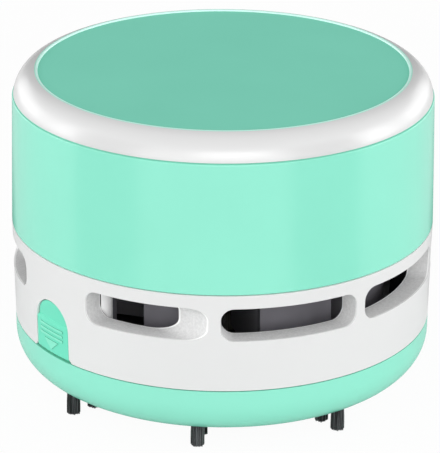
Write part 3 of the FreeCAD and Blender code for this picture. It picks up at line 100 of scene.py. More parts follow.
# %% Shader maths
class Signal:
    """A shader socket that Python's operators can combine."""

    def __init__(self, finish, socket):
        self.finish = finish
        self.socket = socket

    def maths(self, operation, *values):
        node = self.finish.node("ShaderNodeMath", {"operation": operation}, dict(enumerate(values)))
        return Signal(self.finish, node.outputs[0])

    def __add__(self, other):
        return self.maths("ADD", self, other)

    def __sub__(self, other):
        return self.maths("SUBTRACT", self, other)

    def __rsub__(self, other):
        return self.maths("SUBTRACT", other, self)

    def __mul__(self, other):
        return self.maths("MULTIPLY", self, other)

    __radd__ = __add__
    __rmul__ = __mul__

    def either(self, other):
        """The larger of two masks, so what lies in either of them."""
        return self.maths("MAXIMUM", self, other)

    def step(self, low, high):
        """Rises smoothly from 0 at low to 1 at high."""
        settings = {"interpolation_type": "SMOOTHSTEP"}
        inputs = {"Value": self, "From Min": low, "From Max": high}
        node = self.finish.node("ShaderNodeMapRange", settings, inputs)
        return Signal(self.finish, node.outputs["Result"])


def linear(red, green, blue):
    """A colour as it is seen on a screen, 0 to 255, as the light that a shader works in."""
    channels = []
    for value in (red, green, blue):
        share = value / 255
        channels.append(share / 12.92 if share <= 0.04045 else ((share + 0.055) / 1.055) ** 2.4)
    return (*channels, 1.0)


class Finish:
    """A material round one Principled shader."""

    def __init__(self, name):
        self.material = bpy.data.materials.new(name)
        self.material.use_nodes = True
        self.tree = self.material.node_tree
        self.tree.nodes.clear()
        self.shader = self.tree.nodes.new("ShaderNodeBsdfPrincipled")
        self.output = self.tree.nodes.new("ShaderNodeOutputMaterial")
        self.tree.links.new(self.shader.outputs[0], self.output.inputs[0])
        self.place = Signal(self, self.tree.nodes.new("ShaderNodeTexCoord").outputs["Object"])

    def feed(self, socket, value):
        if isinstance(value, Signal):
            value = value.socket
        if isinstance(value, bpy.types.NodeSocket):
            self.tree.links.new(value, socket)
        else:
            socket.default_value = value

    def node(self, kind, settings=None, inputs=None):
        node = self.tree.nodes.new(kind)
        for name, value in (settings or {}).items():
            if name == "stops":
                self.set_stops(node, value)
            else:
                setattr(node, name, value)
        for name, value in (inputs or {}).items():
            self.feed(node.inputs[name], value)
        return node

    def set_stops(self, node, stops):
        ramp = node.color_ramp.elements
        while len(ramp) < len(stops):
            ramp.new(0.5)
        for element, (position, colour) in zip(ramp, stops):
            element.position = position
            element.color = colour

    def noise(self, scale, detail=2.0, roughness=0.5, place=None):
        inputs = {"Vector": place or self.place, "Scale": scale, "Detail": detail, "Roughness": roughness}
        return Signal(self, self.node("ShaderNodeTexNoise", {}, inputs).outputs[0])

    def stretched(self, scale):
        """The object's coordinates, scaled apart along X, Y and Z."""
        node = self.node("ShaderNodeMapping", {}, {"Vector": self.place, "Scale": scale})
        return Signal(self, node.outputs[0])

    def mix(self, share, first, second):
        node = self.node("ShaderNodeMix", {"data_type": "RGBA"}, {0: share, 6: first, 7: second})
        return Signal(self, node.outputs[2])

    def bump(self, height, distance):
        inputs = {"Height": height, "Distance": distance}
        return Signal(self, self.node("ShaderNodeBump", {}, inputs).outputs[0])

    def radius(self):
        """How far a point is from the object's upright axis."""
        flat = self.node("ShaderNodeVectorMath", {"operation": "MULTIPLY"}, {0: self.place, 1: (1, 1, 0)})
        length = self.node("ShaderNodeVectorMath", {"operation": "LENGTH"}, {0: flat.outputs[0]})
        return Signal(self, length.outputs["Value"])

    def coordinate(self, axis):
        return Signal(self, self.node("ShaderNodeSeparateXYZ", {}, {0: self.place}).outputs[axis])

    def shine(self, level):
        """How strongly the surface mirrors, the same all over."""
        self.shader.inputs["Specular IOR Level"].default_value = level

    def set(self, **values):
        for name, value in values.items():
            self.feed(self.shader.inputs[name.replace("_", " ")], value)


# %% [markdown]
# ## Moulded plastic
#
# Every shell of the real cleaner is injection moulded. Spark-eroded steel leaves a fine grain on it, and
# the pigment is never quite even. So each plastic is one colour that drifts a little over centimetres,
# a roughness that drifts with it, and a bump of fine grain.


# %% Plastics
def plastic(name, colour, roughness, grain=0.25, grain_depth=0.004, drift=0.03, shine=0.5):
    finish = Finish(name)
    finish.shine(shine)
    cloud = finish.noise(45.0, 3.0)
    shade = tuple(channel * (1 - drift) for channel in colour[:3]) + (1.0,)
    tint = tuple(min(1.0, channel * (1 + drift)) for channel in colour[:3]) + (1.0,)
    pebbles = finish.noise(1000.0 / grain, 2.0, 0.6)
    finish.set(Base_Color=finish.mix(cloud, shade, tint), Roughness=roughness + (cloud - 0.5) * 0.1,
               Normal=finish.bump(pebbles, grain_depth * MM))
    return finish.material


MINT = linear(139, 227, 202)
WHITE = linear(221, 221, 221)

mint_plastic = plastic("satin_mint", MINT, 0.24, grain_depth=0.002, shine=0.8)
# The bead's near-white mint is a painted highlight.
bead_highlight_plastic = plastic("bead_highlight_mint", linear(214, 255, 244), 0.3)
seam_plastic = plastic("seam_mint", linear(122, 207, 182), 0.6)
white_plastic = plastic("satin_white", WHITE, 0.24, grain_depth=0.002, shine=0.8)
black_plastic = plastic("matt_black", linear(24, 24, 26), 0.5, grain=0.4, grain_depth=0.01)
tray_plastic = plastic("tray_grey", linear(203, 206, 206), 0.5, grain=0.4, grain_depth=0.01)
case_plastic = plastic("switch_black", linear(32, 32, 36), 0.3)
jacket_plastic = plastic("lead_red", linear(190, 44, 40), 0.4)
rubber = plastic("seal_rubber", linear(40, 40, 42), 0.75, grain=0.3, grain_depth=0.012)
print("plastics:", len(bpy.data.materials) - frame_materials)

# %% [markdown]
# Nylon filaments are dark and glossy along their length. Where they are cut the nylon is frayed and looks
# lighter, and no two filaments are quite the same tone.


# %% Nylon
def bristle_nylon():
    finish = Finish("bristle_nylon")
    cut_end = 1 - finish.coordinate("Z").step(0.18 * MM, 0.45 * MM)
    tone = finish.noise(1.0, 1.0, 0.5, finish.stretched((2600.0, 2600.0, 90.0))).step(0.38, 0.66)
    colour = finish.mix(tone, linear(24, 24, 26), linear(92, 92, 95))
    finish.set(Base_Color=finish.mix(cut_end * (tone * 0.7 + 0.2), colour, linear(176, 174, 176)),
               Roughness=0.38 + cut_end * 0.3, Normal=finish.bump(tone, 0.02 * MM))
    return finish.material


nylon = bristle_nylon()

# %% [markdown]
# The white ring is polished outside, its slot walls keep a coarse grain, and every edge between the two is
# painted near-white, a painted highlight. Its bore and the screw posts on its right half are painted
# near-black, painted shade that makes the slots look deep. How far a point lies below the ring's tapered
# outside, and how far from the axis, says which it is.


# %% Ring with slots
RING_FOOT = 14.0
RING_FOOT_RADIUS = 42.1
RING_TAPER = 0.4 / 19.9
BORE_RADIUS = 38.0


def ring_depth(finish):
    """How far a point lies below the ring's tapered outside."""
    rise = finish.coordinate("Z") - RING_FOOT * MM
    return rise * RING_TAPER + RING_FOOT_RADIUS * MM - finish.radius()


def ring_white():
    finish = Finish("ring_white")
    finish.shine(0.15)
    radius = finish.radius()
    depth = ring_depth(finish)
    outer_edge = depth.step(0.04 * MM, 0.1 * MM) * (1 - depth.step(0.26 * MM, 0.34 * MM))
    inner_edge = 1 - radius.step((BORE_RADIUS + 0.25) * MM, (BORE_RADIUS + 0.33) * MM)
    wall = depth.step(0.28 * MM, 0.36 * MM) * (1 - inner_edge)
    cloud = finish.noise(45.0, 3.0)
    speckle = finish.noise(1900.0, 2.0, 0.7)
    outside = finish.mix(cloud, linear(219, 219, 219), linear(224, 224, 224))
    inside = finish.mix(speckle, linear(199, 199, 199), linear(240, 240, 240))
    colour = finish.mix(wall, outside, inside)
    # Painted highlight: every slot edge, outer and inner, is painted near-white.
    colour = finish.mix(outer_edge.either(inner_edge), colour, linear(254, 254, 254))
    outside_posts = radius.step((BORE_RADIUS - 0.07) * MM, (BORE_RADIUS - 0.04) * MM)
    # Painted shade: the bore, and the screw posts on the right half only, are painted near-black.
    bore_shade = outside_posts * (1 - radius.step((BORE_RADIUS + 0.03) * MM, (BORE_RADIUS + 0.1) * MM))
    side_post_shade = (1 - outside_posts) * finish.coordinate("X").step(8.0 * MM, 12.0 * MM)
    bore_shade = bore_shade.either(side_post_shade)
    colour = finish.mix(bore_shade, colour, linear(14, 14, 16))
    grain = speckle * (wall * 0.9 + 0.1)
    finish.set(Base_Color=colour, Roughness=0.42 + wall * 0.3 + bore_shade * 0.5 + (cloud - 0.5) * 0.08,
               Normal=finish.bump(grain, 0.05 * MM))
    return finish.material


ring_plastic = ring_white()

# %% [markdown]
# The shoulder is the same satin white, but its inner lip is painted the pale mint of the bead beside it, a
# painted highlight that widens the bead's bright line.


# %% Shoulder
LIP_EDGE = (37.42 * MM, 37.52 * MM)


def shoulder_white():
    finish = Finish("shoulder_white")
    finish.shine(1.0)
    lip_highlight = 1 - finish.radius().step(*LIP_EDGE)
    cloud = finish.noise(45.0, 3.0)
    face = finish.mix(cloud, linear(216, 216, 216), linear(220, 220, 220))
    pebbles = finish.noise(4000.0, 2.0, 0.6)
    # Painted highlight: the inner lip is painted pale mint.
    finish.set(Base_Color=finish.mix(lip_highlight, face, linear(170, 250, 226)), Roughness=0.3 + (cloud - 0.5) * 0.1,
               Coat_Weight=0.8, Coat_Roughness=0.25, Normal=finish.bump(pebbles, 0.002 * MM))
    return finish.material


shoulder_plastic = shoulder_white()

# %% [markdown]
# The button's grip ridges and arrow stand a fifth of a millimetre proud. Their feet and the button's edge are
# painted dark teal, painted shade, and their crests a paler mint, a painted highlight; thumbs polish the
# crests, so they are less rough.


# %% Button
def button_mint():
    finish = Finish("button_mint")
    depth = ring_depth(finish)
    crest = 1 - depth.step(-0.13 * MM, -0.09 * MM)
    foot_shade = depth.step(-0.11 * MM, -0.05 * MM) * (1 - depth.step(0.0 * MM, 0.04 * MM))
    cloud = finish.noise(90.0, 3.0)
    face = finish.mix(cloud, linear(104, 220, 187), linear(111, 225, 194))
    # Painted highlight on the crests, painted shade at the feet and round the edge.
    colour = finish.mix(crest, face, linear(132, 230, 201))
    finish.set(Base_Color=finish.mix(foot_shade, colour, linear(59, 144, 117)), Roughness=0.4 - crest * 0.12,
               Normal=finish.bump(finish.noise(3200.0), 0.004 * MM))
    return finish.material


button_plastic = button_mint()


# %% [markdown]
# The impeller turns in dusty air: its broad rim plates are evenly grey, and the blades inside them are
# painted paler, painted light that makes up for how little light gets that far in.


# %% Impeller
PLATE_EDGE = (30.5 * MM, 31.8 * MM)


def fan_grey():
    finish = Finish("fan_grey")
    outer = finish.radius().step(*PLATE_EDGE)
    dust = finish.noise(260.0, 3.0)
    plates = finish.mix(dust, linear(113, 111, 117), linear(125, 123, 130))
    # Painted light: the blades inside the rim are painted a paler grey than the plates.
    colour = finish.mix(outer, linear(158, 157, 163), plates)
    finish.set(Base_Color=colour, Roughness=0.55 + (dust - 0.5) * 0.2,
               Normal=finish.bump(finish.noise(2500.0), 0.006 * MM))
    return finish.material


fan_plastic = fan_grey()


# %% [markdown]
# The lid's disc is the same moulding all over, but its face is grained so that fingers don't mark it, and
# only the polished rim shines. The rim is also painted near-white mint, a painted highlight, and the face a
# darker mint than the body, painted shade for the dimly lit top. A mask by radius parts the two.


# %% Lid's disc
RIM_EDGE = (36.75 * MM, 36.9 * MM)


def lid_disc():
    finish = Finish("lid_mint")
    rim = finish.radius().step(*RIM_EDGE)
    cloud = finish.noise(45.0, 3.0)
    # Painted shade: the face is a darker mint than the body's.
    face = finish.mix(cloud, linear(122, 211, 186), linear(129, 218, 193))
    pebbles = finish.noise(2200.0, 2.0, 0.6)
    # Painted highlight: the rim is painted near-white mint.
    finish.set(Base_Color=finish.mix(rim, face, linear(172, 255, 232)),
               Roughness=0.62 - rim * 0.3 + (cloud - 0.5) * 0.08,
               Normal=finish.bump(pebbles * (1 - rim), 0.02 * MM))
    finish.shine(0.3)
    return finish.material


panel_plastic = lid_disc()

# %% [markdown]
# ## Metals
#
# Zinc-plated screws and the motor's can are rolled or turned steel, so their roughness is streaked along
# one direction. Copper wire is wound round the armature in fine parallel turns.


# %% Metals
def metal(name, colour, roughness, streaks=(400.0, 400.0, 60.0), depth=0.003):
    finish = Finish(name)
    brushed = finish.noise(1.0, 4.0, 0.7, finish.stretched(streaks))
    dull = tuple(channel * 0.82 for channel in colour[:3]) + (1.0,)
    finish.set(Base_Color=finish.mix(brushed, dull, colour), Metallic=1.0,
               Roughness=roughness + (brushed - 0.5) * 0.25, Normal=finish.bump(brushed, depth * MM))
    return finish.material


def winding_copper():
    finish = Finish("wound_copper")
    turns = finish.node("ShaderNodeTexWave", {"bands_direction": "Z"},
                        {"Vector": finish.place, "Scale": 900.0, "Distortion": 0.4})
    ridge = Signal(finish, turns.outputs["Fac"])
    finish.set(Base_Color=finish.mix(ridge, linear(96, 40, 18), linear(205, 112, 62)), Metallic=1.0,
               Roughness=0.3, Normal=finish.bump(ridge, 0.05 * MM))
    return finish.material


steel = metal("plated_steel", linear(196, 198, 202), 0.32)
nickel = metal("contact_nickel", linear(214, 212, 206), 0.24, (900.0, 60.0, 900.0))
bronze = metal("sintered_bronze", linear(176, 132, 74), 0.45)
ferrite = metal("ferrite", linear(58, 58, 62), 0.6)
copper = winding_copper()
print("finishes so far:", len(bpy.data.materials) - frame_materials)


# %% Soft and printed finishes
def foam():
    finish = Finish("pad_foam")
    cells = finish.node("ShaderNodeTexVoronoi", {}, {"Vector": finish.place, "Scale": 1600.0})
    wall = Signal(finish, cells.outputs["Distance"])
    finish.set(Base_Color=finish.mix(wall, linear(38, 39, 41), linear(84, 86, 88)), Roughness=0.95,
               Normal=finish.bump(wall, 0.3 * MM))
    return finish.material


def woven_mesh():
    finish = Finish("filter_weave")
    threads = []
    for axis in ("X", "Y"):
        wave = finish.node("ShaderNodeTexWave", {"bands_direction": axis},
                           {"Vector": finish.place, "Scale": 700.0, "Distortion": 0.0})
        threads.append(Signal(finish, wave.outputs["Fac"]))
    cloth = threads[0].either(threads[1])
    finish.set(Base_Color=finish.mix(cloth, linear(84, 83, 80), linear(158, 156, 150)), Roughness=0.8,
               Normal=finish.bump(cloth, 0.12 * MM))
    return finish.material


def cell_sleeve():
    finish = Finish("cell_sleeve")
    cloud = finish.noise(60.0, 3.0)
    finish.set(Base_Color=finish.mix(cloud, linear(44, 50, 58), linear(62, 68, 78)), Roughness=0.22,
               Coat_Weight=0.4, Coat_Roughness=0.08, Normal=finish.bump(finish.noise(300.0), 0.02 * MM))
    return finish.material


pad_foam = foam()
filter_weave = woven_mesh()
sleeve = cell_sleeve()

# %% [markdown]
# ## Moulded edges
#
# No moulded or pressed edge is truly sharp: each catches a thin line of light, and that line is what shows
# the slots and seams in the photograph. A CAD mesh is loose triangles, so a stack of modifiers welds
# them, melts the flat ones together, and then rounds every edge that turns more than 30 degrees.


# %% Rounded edges
def round_node(node, width, segments):
    weld = node.modifiers.new("weld", "WELD")
    weld.merge_threshold = 2e-6
    melt = node.modifiers.new("melt", "DECIMATE")
    melt.decimate_type = "DISSOLVE"
    melt.angle_limit = math.radians(0.6)
    edges = node.modifiers.new("edges", "BEVEL")
    edges.width = width * MM
    edges.segments = segments
    edges.limit_method = "ANGLE"
    edges.angle_limit = math.radians(30)
    edges.miter_outer = "MITER_ARC"
    even = node.modifiers.new("even", "WEIGHTED_NORMAL")
    even.weight = 80
    even.keep_sharp = False


ROUNDS = {
    0.3: ["vent_ring"],
    0.06: ["lid_bezel", "lid_panel"],
    0.25: ["base_shell", "impeller", "fan_shroud", "suction_nozzle", "battery_tray",
           "filter_frame", "motor_can", "motor_end_cap", "chassis_plate"],
    0.15: ["outer_shell", "switch_knob", "switch_housing", "battery_cell_front", "battery_cell_rear",
           "motor_magnets", "armature_core"],
    0.08: ["release_button", "contact_tabs", "contact_bridge", "motor_terminals", "switch_terminals",
           "switch_slider", "motor_shaft", "motor_bushings", "commutator", "armature_windings",
           "shroud_screws", "chassis_screws", "tray_screws", "motor_screws"],
}
for width, names in ROUNDS.items():
    for name in names:
        round_node(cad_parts[name], width, 3 if name == "vent_ring" else 2)
print("nodes with rounded edges:", sum(len(names) for names in ROUNDS.values()))

# %% [markdown]
# ## Finishes on the CAD nodes
#
# A node whose form is right stays as it is and only gets its finish.

# %% Finishes by node
FINISHES = {
    mint_plastic: ["base_shell", "outer_shell"],
    button_plastic: ["release_button"],
    panel_plastic: ["lid_panel"],
    ring_plastic: ["vent_ring"],
    shoulder_plastic: ["lid_bezel"],
    white_plastic: ["filter_frame", "switch_knob"],
    black_plastic: ["suction_nozzle", "fan_shroud", "chassis_plate", "motor_end_cap"],
    fan_plastic: ["impeller"],
    tray_plastic: ["battery_tray"],
    case_plastic: ["switch_housing", "switch_slider"],
    jacket_plastic: ["lead_wires"],
    steel: ["button_spring", "shroud_screws", "chassis_screws", "tray_screws", "motor_screws", "motor_can",
            "motor_shaft", "armature_core"],
    nickel: ["motor_terminals", "contact_tabs", "contact_bridge", "contact_springs", "switch_terminals"],
    bronze: ["motor_bushings"],
    ferrite: ["motor_magnets"],
    copper: ["armature_windings", "commutator"],
    sleeve: ["battery_cell_front", "battery_cell_rear"],
}
for material, names in FINISHES.items():
    for name in names:
        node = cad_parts[name]
        node.data.materials.clear()
        node.data.materials.append(material)
print("nodes finished:", sum(len(names) for names in FINISHES.values()))

# %% [markdown]
# ## Bristle tufts
#
# Twelve tufts in six radial pairs carry the cleaner and sweep crumbs to the inlet. Each is a bundle of
# stiff nylon filaments stapled into a boss, fanning out a little to its trimmed tip. A tuft repeats, and
# so does its filament, so Geometry Nodes lay filaments out like seeds in a sunflower, fan them, and stand
# one such tuft on each of twelve points.


# %% A small builder for geometry trees
class Tree:
    """A geometry node tree with named inputs."""

    def __init__(self, name, sizes):
        self.group = bpy.data.node_groups.new(name, "GeometryNodeTree")
        self.group.interface.new_socket("Geometry", in_out="INPUT", socket_type="NodeSocketGeometry")
        self.group.interface.new_socket("Geometry", in_out="OUTPUT", socket_type="NodeSocketGeometry")
        self.sizes = sizes
        for label, (kind, _) in sizes.items():
            self.group.interface.new_socket(label, in_out="INPUT", socket_type=kind)
        self.start = self.group.nodes.new("NodeGroupInput")
        self.end = self.group.nodes.new("NodeGroupOutput")

    def size(self, label):
        return self.start.outputs[label]

    def node(self, kind, settings=None, inputs=None, output=0):
        node = self.group.nodes.new(kind)
        for name, value in (settings or {}).items():
            setattr(node, name, value)
        for name, value in (inputs or {}).items():
            if isinstance(value, bpy.types.NodeSocket):
                self.group.links.new(value, node.inputs[name])
            else:
                node.inputs[name].default_value = value
        return node.outputs[output]

    def maths(self, operation, first, second=0.0):
        return self.node("ShaderNodeMath", {"operation": operation}, {0: first, 1: second})

    def join_up(self, geometry, material):
        real = self.node("GeometryNodeRealizeInstances", {}, {"Geometry": geometry})
        dressed = self.node("GeometryNodeSetMaterial", {}, {"Geometry": real, "Material": material})
        self.group.links.new(dressed, self.end.inputs[0])

    def make(self, name, base_mesh):
        """Runs the tree on a mesh and returns the result as a plain object."""
        carrier = bpy.data.objects.new(name + "_carrier", base_mesh)
        bpy.context.scene.collection.objects.link(carrier)
        modifier = carrier.modifiers.new("tree", "NODES")
        modifier.node_group = self.group
        for item in self.group.interface.items_tree:
            if item.item_type == "SOCKET" and item.in_out == "INPUT" and item.name in self.sizes:
                modifier[item.identifier] = self.sizes[item.name][1]
        graph = bpy.context.evaluated_depsgraph_get()
        mesh = bpy.data.meshes.new_from_object(carrier.evaluated_get(graph))
        mesh.name = name
        carrier.modifiers.remove(modifier)
        bpy.data.objects.remove(carrier)
        piece = bpy.data.objects.new(name, mesh)
        bpy.context.scene.collection.objects.link(piece)
        return piece


# %% Bristles
def point_mesh(name, places):
    mesh = bpy.data.meshes.new(name)
    mesh.from_pydata(places, [], [])
    return mesh


def polar(radius, heading, height=0.0):
    angle = math.radians(heading)
    return (radius * math.cos(angle), radius * math.sin(angle), height)


TRIM = 0.16
GOLDEN_ANGLE = 2.39996
TUFT_HEADING = -97.1
TUFT_RINGS = (37.3, 32.3)
TUFT_STEPS = (0, 1, 3, 4, 5, 7)
tuft_places = [polar(ring * MM, TUFT_HEADING + 45 * step) for ring in TUFT_RINGS for step in TUFT_STEPS]


def bristle_tree(material):
    tree = Tree("bristle_tufts", {
        "Filaments": ("NodeSocketInt", 74), "Tip radius": ("NodeSocketFloat", 1.26 * MM),
        "Root share": ("NodeSocketFloat", 0.8), "Length": ("NodeSocketFloat", 5.6 * MM),
        "Thickness": ("NodeSocketFloat", 0.27 * MM), "Waver": ("NodeSocketFloat", 0.22 * MM)})
    index = tree.node("GeometryNodeInputIndex")
    share = tree.maths("DIVIDE", tree.maths("ADD", index, 0.5), tree.size("Filaments"))
    reach = tree.maths("MULTIPLY", tree.maths("SQRT", share), tree.size("Tip radius"))
    turn = tree.maths("MULTIPLY", index, GOLDEN_ANGLE)
    x = tree.maths("MULTIPLY", reach, tree.maths("COSINE", turn))
    y = tree.maths("MULTIPLY", reach, tree.maths("SINE", turn))
    trim = tree.node("FunctionNodeRandomValue", {"data_type": "FLOAT"}, {2: 0.0, 3: TRIM * MM, "Seed": 4}, 1)
    seat = tree.node("ShaderNodeCombineXYZ", {}, {0: x, 1: y, 2: trim})
    seeds = tree.node("GeometryNodePoints", {}, {"Count": tree.size("Filaments"), "Position": seat})
    radius = tree.maths("DIVIDE", tree.size("Thickness"), 2.0)
    depth = tree.maths("SUBTRACT", tree.size("Length"), TRIM * MM)
    rod = tree.node("GeometryNodeMeshCylinder", {"fill_type": "NGON"},
                    {"Vertices": 6, "Side Segments": 4, "Radius": radius, "Depth": depth})
    half = tree.node("ShaderNodeCombineXYZ", {}, {2: tree.maths("DIVIDE", tree.size("Length"), 2.0)})
    rod = tree.node("GeometryNodeTransform", {}, {"Geometry": rod, "Translation": half})
    tuft = tree.node("GeometryNodeInstanceOnPoints", {}, {"Points": seeds, "Instance": rod})
    tuft = tree.node("GeometryNodeRealizeInstances", {}, {"Geometry": tuft})
    spot = tree.node("GeometryNodeInputPosition")
    height = tree.node("ShaderNodeSeparateXYZ", {}, {0: spot}, 2)
    rise = tree.maths("DIVIDE", height, tree.size("Length"))
    waist = tree.maths("POWER", rise, 4.0)
    squeeze = tree.maths("MULTIPLY", waist, tree.maths("SUBTRACT", 1.0, tree.size("Root share")))
    squeeze = tree.maths("SUBTRACT", 1.0, squeeze)
    spread = tree.node("ShaderNodeCombineXYZ", {}, {0: squeeze, 1: squeeze, 2: 1.0})
    fanned = tree.node("ShaderNodeVectorMath", {"operation": "MULTIPLY"}, {0: spot, 1: spread})
    wind = tree.node("ShaderNodeTexNoise", {}, {"Vector": spot, "Scale": 420.0, "Detail": 1.0}, 1)
    wind = tree.node("ShaderNodeVectorMath", {"operation": "SUBTRACT"}, {0: wind, 1: (0.5, 0.5, 0.5)})
    sway = tree.maths("MULTIPLY", tree.maths("SUBTRACT", 1.0, rise), tree.size("Waver"))
    flat = tree.node("ShaderNodeCombineXYZ", {}, {0: sway, 1: sway, 2: 0.0})
    offset = tree.node("ShaderNodeVectorMath", {"operation": "MULTIPLY"}, {0: wind, 1: flat})
    moved = {"Geometry": tuft, "Position": fanned, "Offset": offset}
    tuft = tree.node("GeometryNodeSetPosition", {}, moved)
    legs = tree.node("GeometryNodeMeshToPoints", {}, {"Mesh": tree.start.outputs["Geometry"]})
    spin = tree.node("FunctionNodeRandomValue", {"data_type": "FLOAT"}, {2: 0.0, 3: 6.28, "Seed": 9}, 1)
    spin = tree.node("ShaderNodeCombineXYZ", {}, {2: spin})
    standing = {"Points": legs, "Instance": tuft, "Rotation": spin}
    tree.join_up(tree.node("GeometryNodeInstanceOnPoints", {}, standing), material)
    return tree


bristles = bristle_tree(nylon).make("bristles", point_mesh("tuft_feet", tuft_places))
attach(bristles, "dust_cup")
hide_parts("bristle_tufts_outer", "bristle_tufts_inner")
print("bristles:", len(bristles.data.polygons), "faces")

# %% [markdown]
# ## Turned rubber
#
# The seal on the cup's collar is a moulded ring with a soft lip, so its outline is drawn once and turned
# about the axis.


# %% Turned pieces
def rounded_outline(corners, steps=5):
    """A closed outline of (radius, height, rounding) corners in mm, each rounded by an arc."""
    points = []
    for place, (radius, height, rounding) in enumerate(corners):
        here = Vector((radius, height))
        before = (Vector(corners[place - 1][:2]) - here).normalized()
        after = (Vector(corners[(place + 1) % len(corners)][:2]) - here).normalized()
        if rounding == 0:
            points.append(here)
            continue
        half_angle = before.angle(after) / 2
        reach = rounding / math.tan(half_angle)
        centre = here + (before + after).normalized() * rounding / math.sin(half_angle)
        start, end = here + before * reach - centre, here + after * reach - centre
        for step in range(steps + 1):
            way = start.lerp(end, step / steps).normalized()
            points.append(centre + way * rounding)
    return points


def lathe(name, corners, material, count=192):
    outline = rounded_outline(corners)
    mesh = bmesh.new()
    rings = []
    for step in range(count):
        angle = math.tau * step / count
        rings.append([mesh.verts.new((p.x * math.cos(angle) * MM, p.x * math.sin(angle) * MM, p.y * MM))
                      for p in outline])
    for step in range(count):
        here, there = rings[step], rings[(step + 1) % count]
        for place in range(len(outline)):
            following = (place + 1) % len(outline)
            mesh.faces.new((here[place], there[place], there[following], here[following]))
    bmesh.ops.recalc_face_normals(mesh, faces=mesh.faces)
    return finish_piece(name, mesh, material)


def finish_piece(name, mesh, material, smooth_angle=35):
    data = bpy.data.meshes.new(name)
    mesh.to_mesh(data)
    mesh.free()
    data.materials.append(material)
    data.shade_smooth()
    data.set_sharp_from_angle(angle=math.radians(smooth_angle))
    piece = bpy.data.objects.new(name, data)
    bpy.context.scene.collection.objects.link(piece)
    return piece


# %% Seal
seal = lathe("collar_seal", [
    (36.35, 16.0, 0.12), (37.3, 16.0, 0.1), (37.55, 16.12, 0.05), (37.5, 16.3, 0.08), (37.0, 16.36, 0.12),
    (36.75, 16.5, 0.1), (36.35, 16.5, 0.1)], rubber)
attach(seal, "dust_cup")
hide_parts("cup_seal")
print("seal:", len(seal.data.polygons), "faces")

# %% [markdown]
# A light bead runs round the lid's disc in the photograph and hides the joint between disc and shoulder. A
# thin mint band backs the seam under the shoulder, so that this seam is a fine line and not a black one.

# %% Bead and seam band
# The bead's pale mint is a painted highlight along the disc's edge.
bead = lathe("disc_bead", [
    (36.75, 64.9, 0), (37.29, 64.7, 0), (37.29, 65.27, 0.02), (36.95, 65.27, 0.12),
    (36.85, 65.0, 0.05)], bead_highlight_plastic)
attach(bead, "lid")
band = lathe("seam_band", [
    (40.4, 60.21, 0), (41.66, 60.21, 0.02), (41.66, 60.36, 0.02), (40.4, 60.36, 0)], seam_plastic)
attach(band, "main_body")
print("bead and band:", len(bead.data.polygons) + len(band.data.polygons), "faces")

# %% [markdown]
# ## Return spring
#
# A small coil spring pushes the button out. It is wire swept round a helix, with its end turns closed.


# %% Coil spring
def coil_spring(name, start, way, length, radius, wire, turns, material):
    """A round-wire spring wound from start along way, with three quarters of a turn closed at each end."""
    side = way.cross(Vector((0, 0, 1))).normalized()
    up = side.cross(way)
    closed = 0.75
    corners = 10
    open_pitch = (length - wire - 2 * closed * wire) / (turns - 2 * closed)
    mesh = bmesh.new()
    rings = []
    steps = int(turns * 24)
    for step in range(steps + 1):
        turn = turns * step / steps
        advance = wire * min(turn, closed) + open_pitch * min(max(turn - closed, 0), turns - 2 * closed)
        advance += wire * max(turn - turns + closed, 0)
        angle = math.tau * turn
        outward = side * math.cos(angle) + up * math.sin(angle)
        middle = start + way * (wire / 2 + advance) + outward * (radius - wire / 2)
        ring = []
        for corner in range(corners):
            spin = math.tau * corner / corners
            turned = outward * math.cos(spin) + way * math.sin(spin)
            ring.append(mesh.verts.new(middle + turned * wire / 2))
        rings.append(ring)
    for here, there in zip(rings, rings[1:]):
        for corner in range(corners):
            following = (corner + 1) % corners
            mesh.faces.new((here[corner], here[following], there[following], there[corner]))
    mesh.faces.new(rings[0][::-1])
    mesh.faces.new(rings[-1])
    bmesh.ops.recalc_face_normals(mesh, faces=mesh.faces)
    return finish_piece(name, mesh, material, 60)


PRESS_HEADING = -142.5
SPRING_RADIUS = 1.4
SPRING_WIRE = 0.35
SPRING_TURNS = 4.5
press_way = Vector(polar(1, PRESS_HEADING))
spring_rise = Vector((0, 0, 11.5 * MM))
reaches = [corner.co.dot(press_way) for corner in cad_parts["button_spring"].data.vertices]
spring_length = max(reaches) - min(reaches)
spring_foot = press_way * min(reaches) + spring_rise
spring = coil_spring("return_spring", spring_foot, press_way, spring_length, SPRING_RADIUS * MM,
                     SPRING_WIRE * MM, SPRING_TURNS, steel)
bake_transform(spring)
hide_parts("button_spring")
print("return spring:", len(spring.data.polygons), "faces,", round(spring_length / MM, 2), "mm long")

# %% [markdown]
# ## Filter cloth and foam pads
#
# The filter is a round of woven cloth, clamped flat in its frame, and dust has pulled it a little hollow.
# Two foam strips under the lid press on the cells; foam bulges where it is squeezed, so each strip is a
# subdivided block with its sides pushed out.


# %% Filter cloth
FILTER_RADIUS = 12.2
FILTER_HEIGHT = 10.18
FILTER_SAG = 0.06
FILTER_RIPPLE = 0.015
FILTER_THICKNESS = 0.3


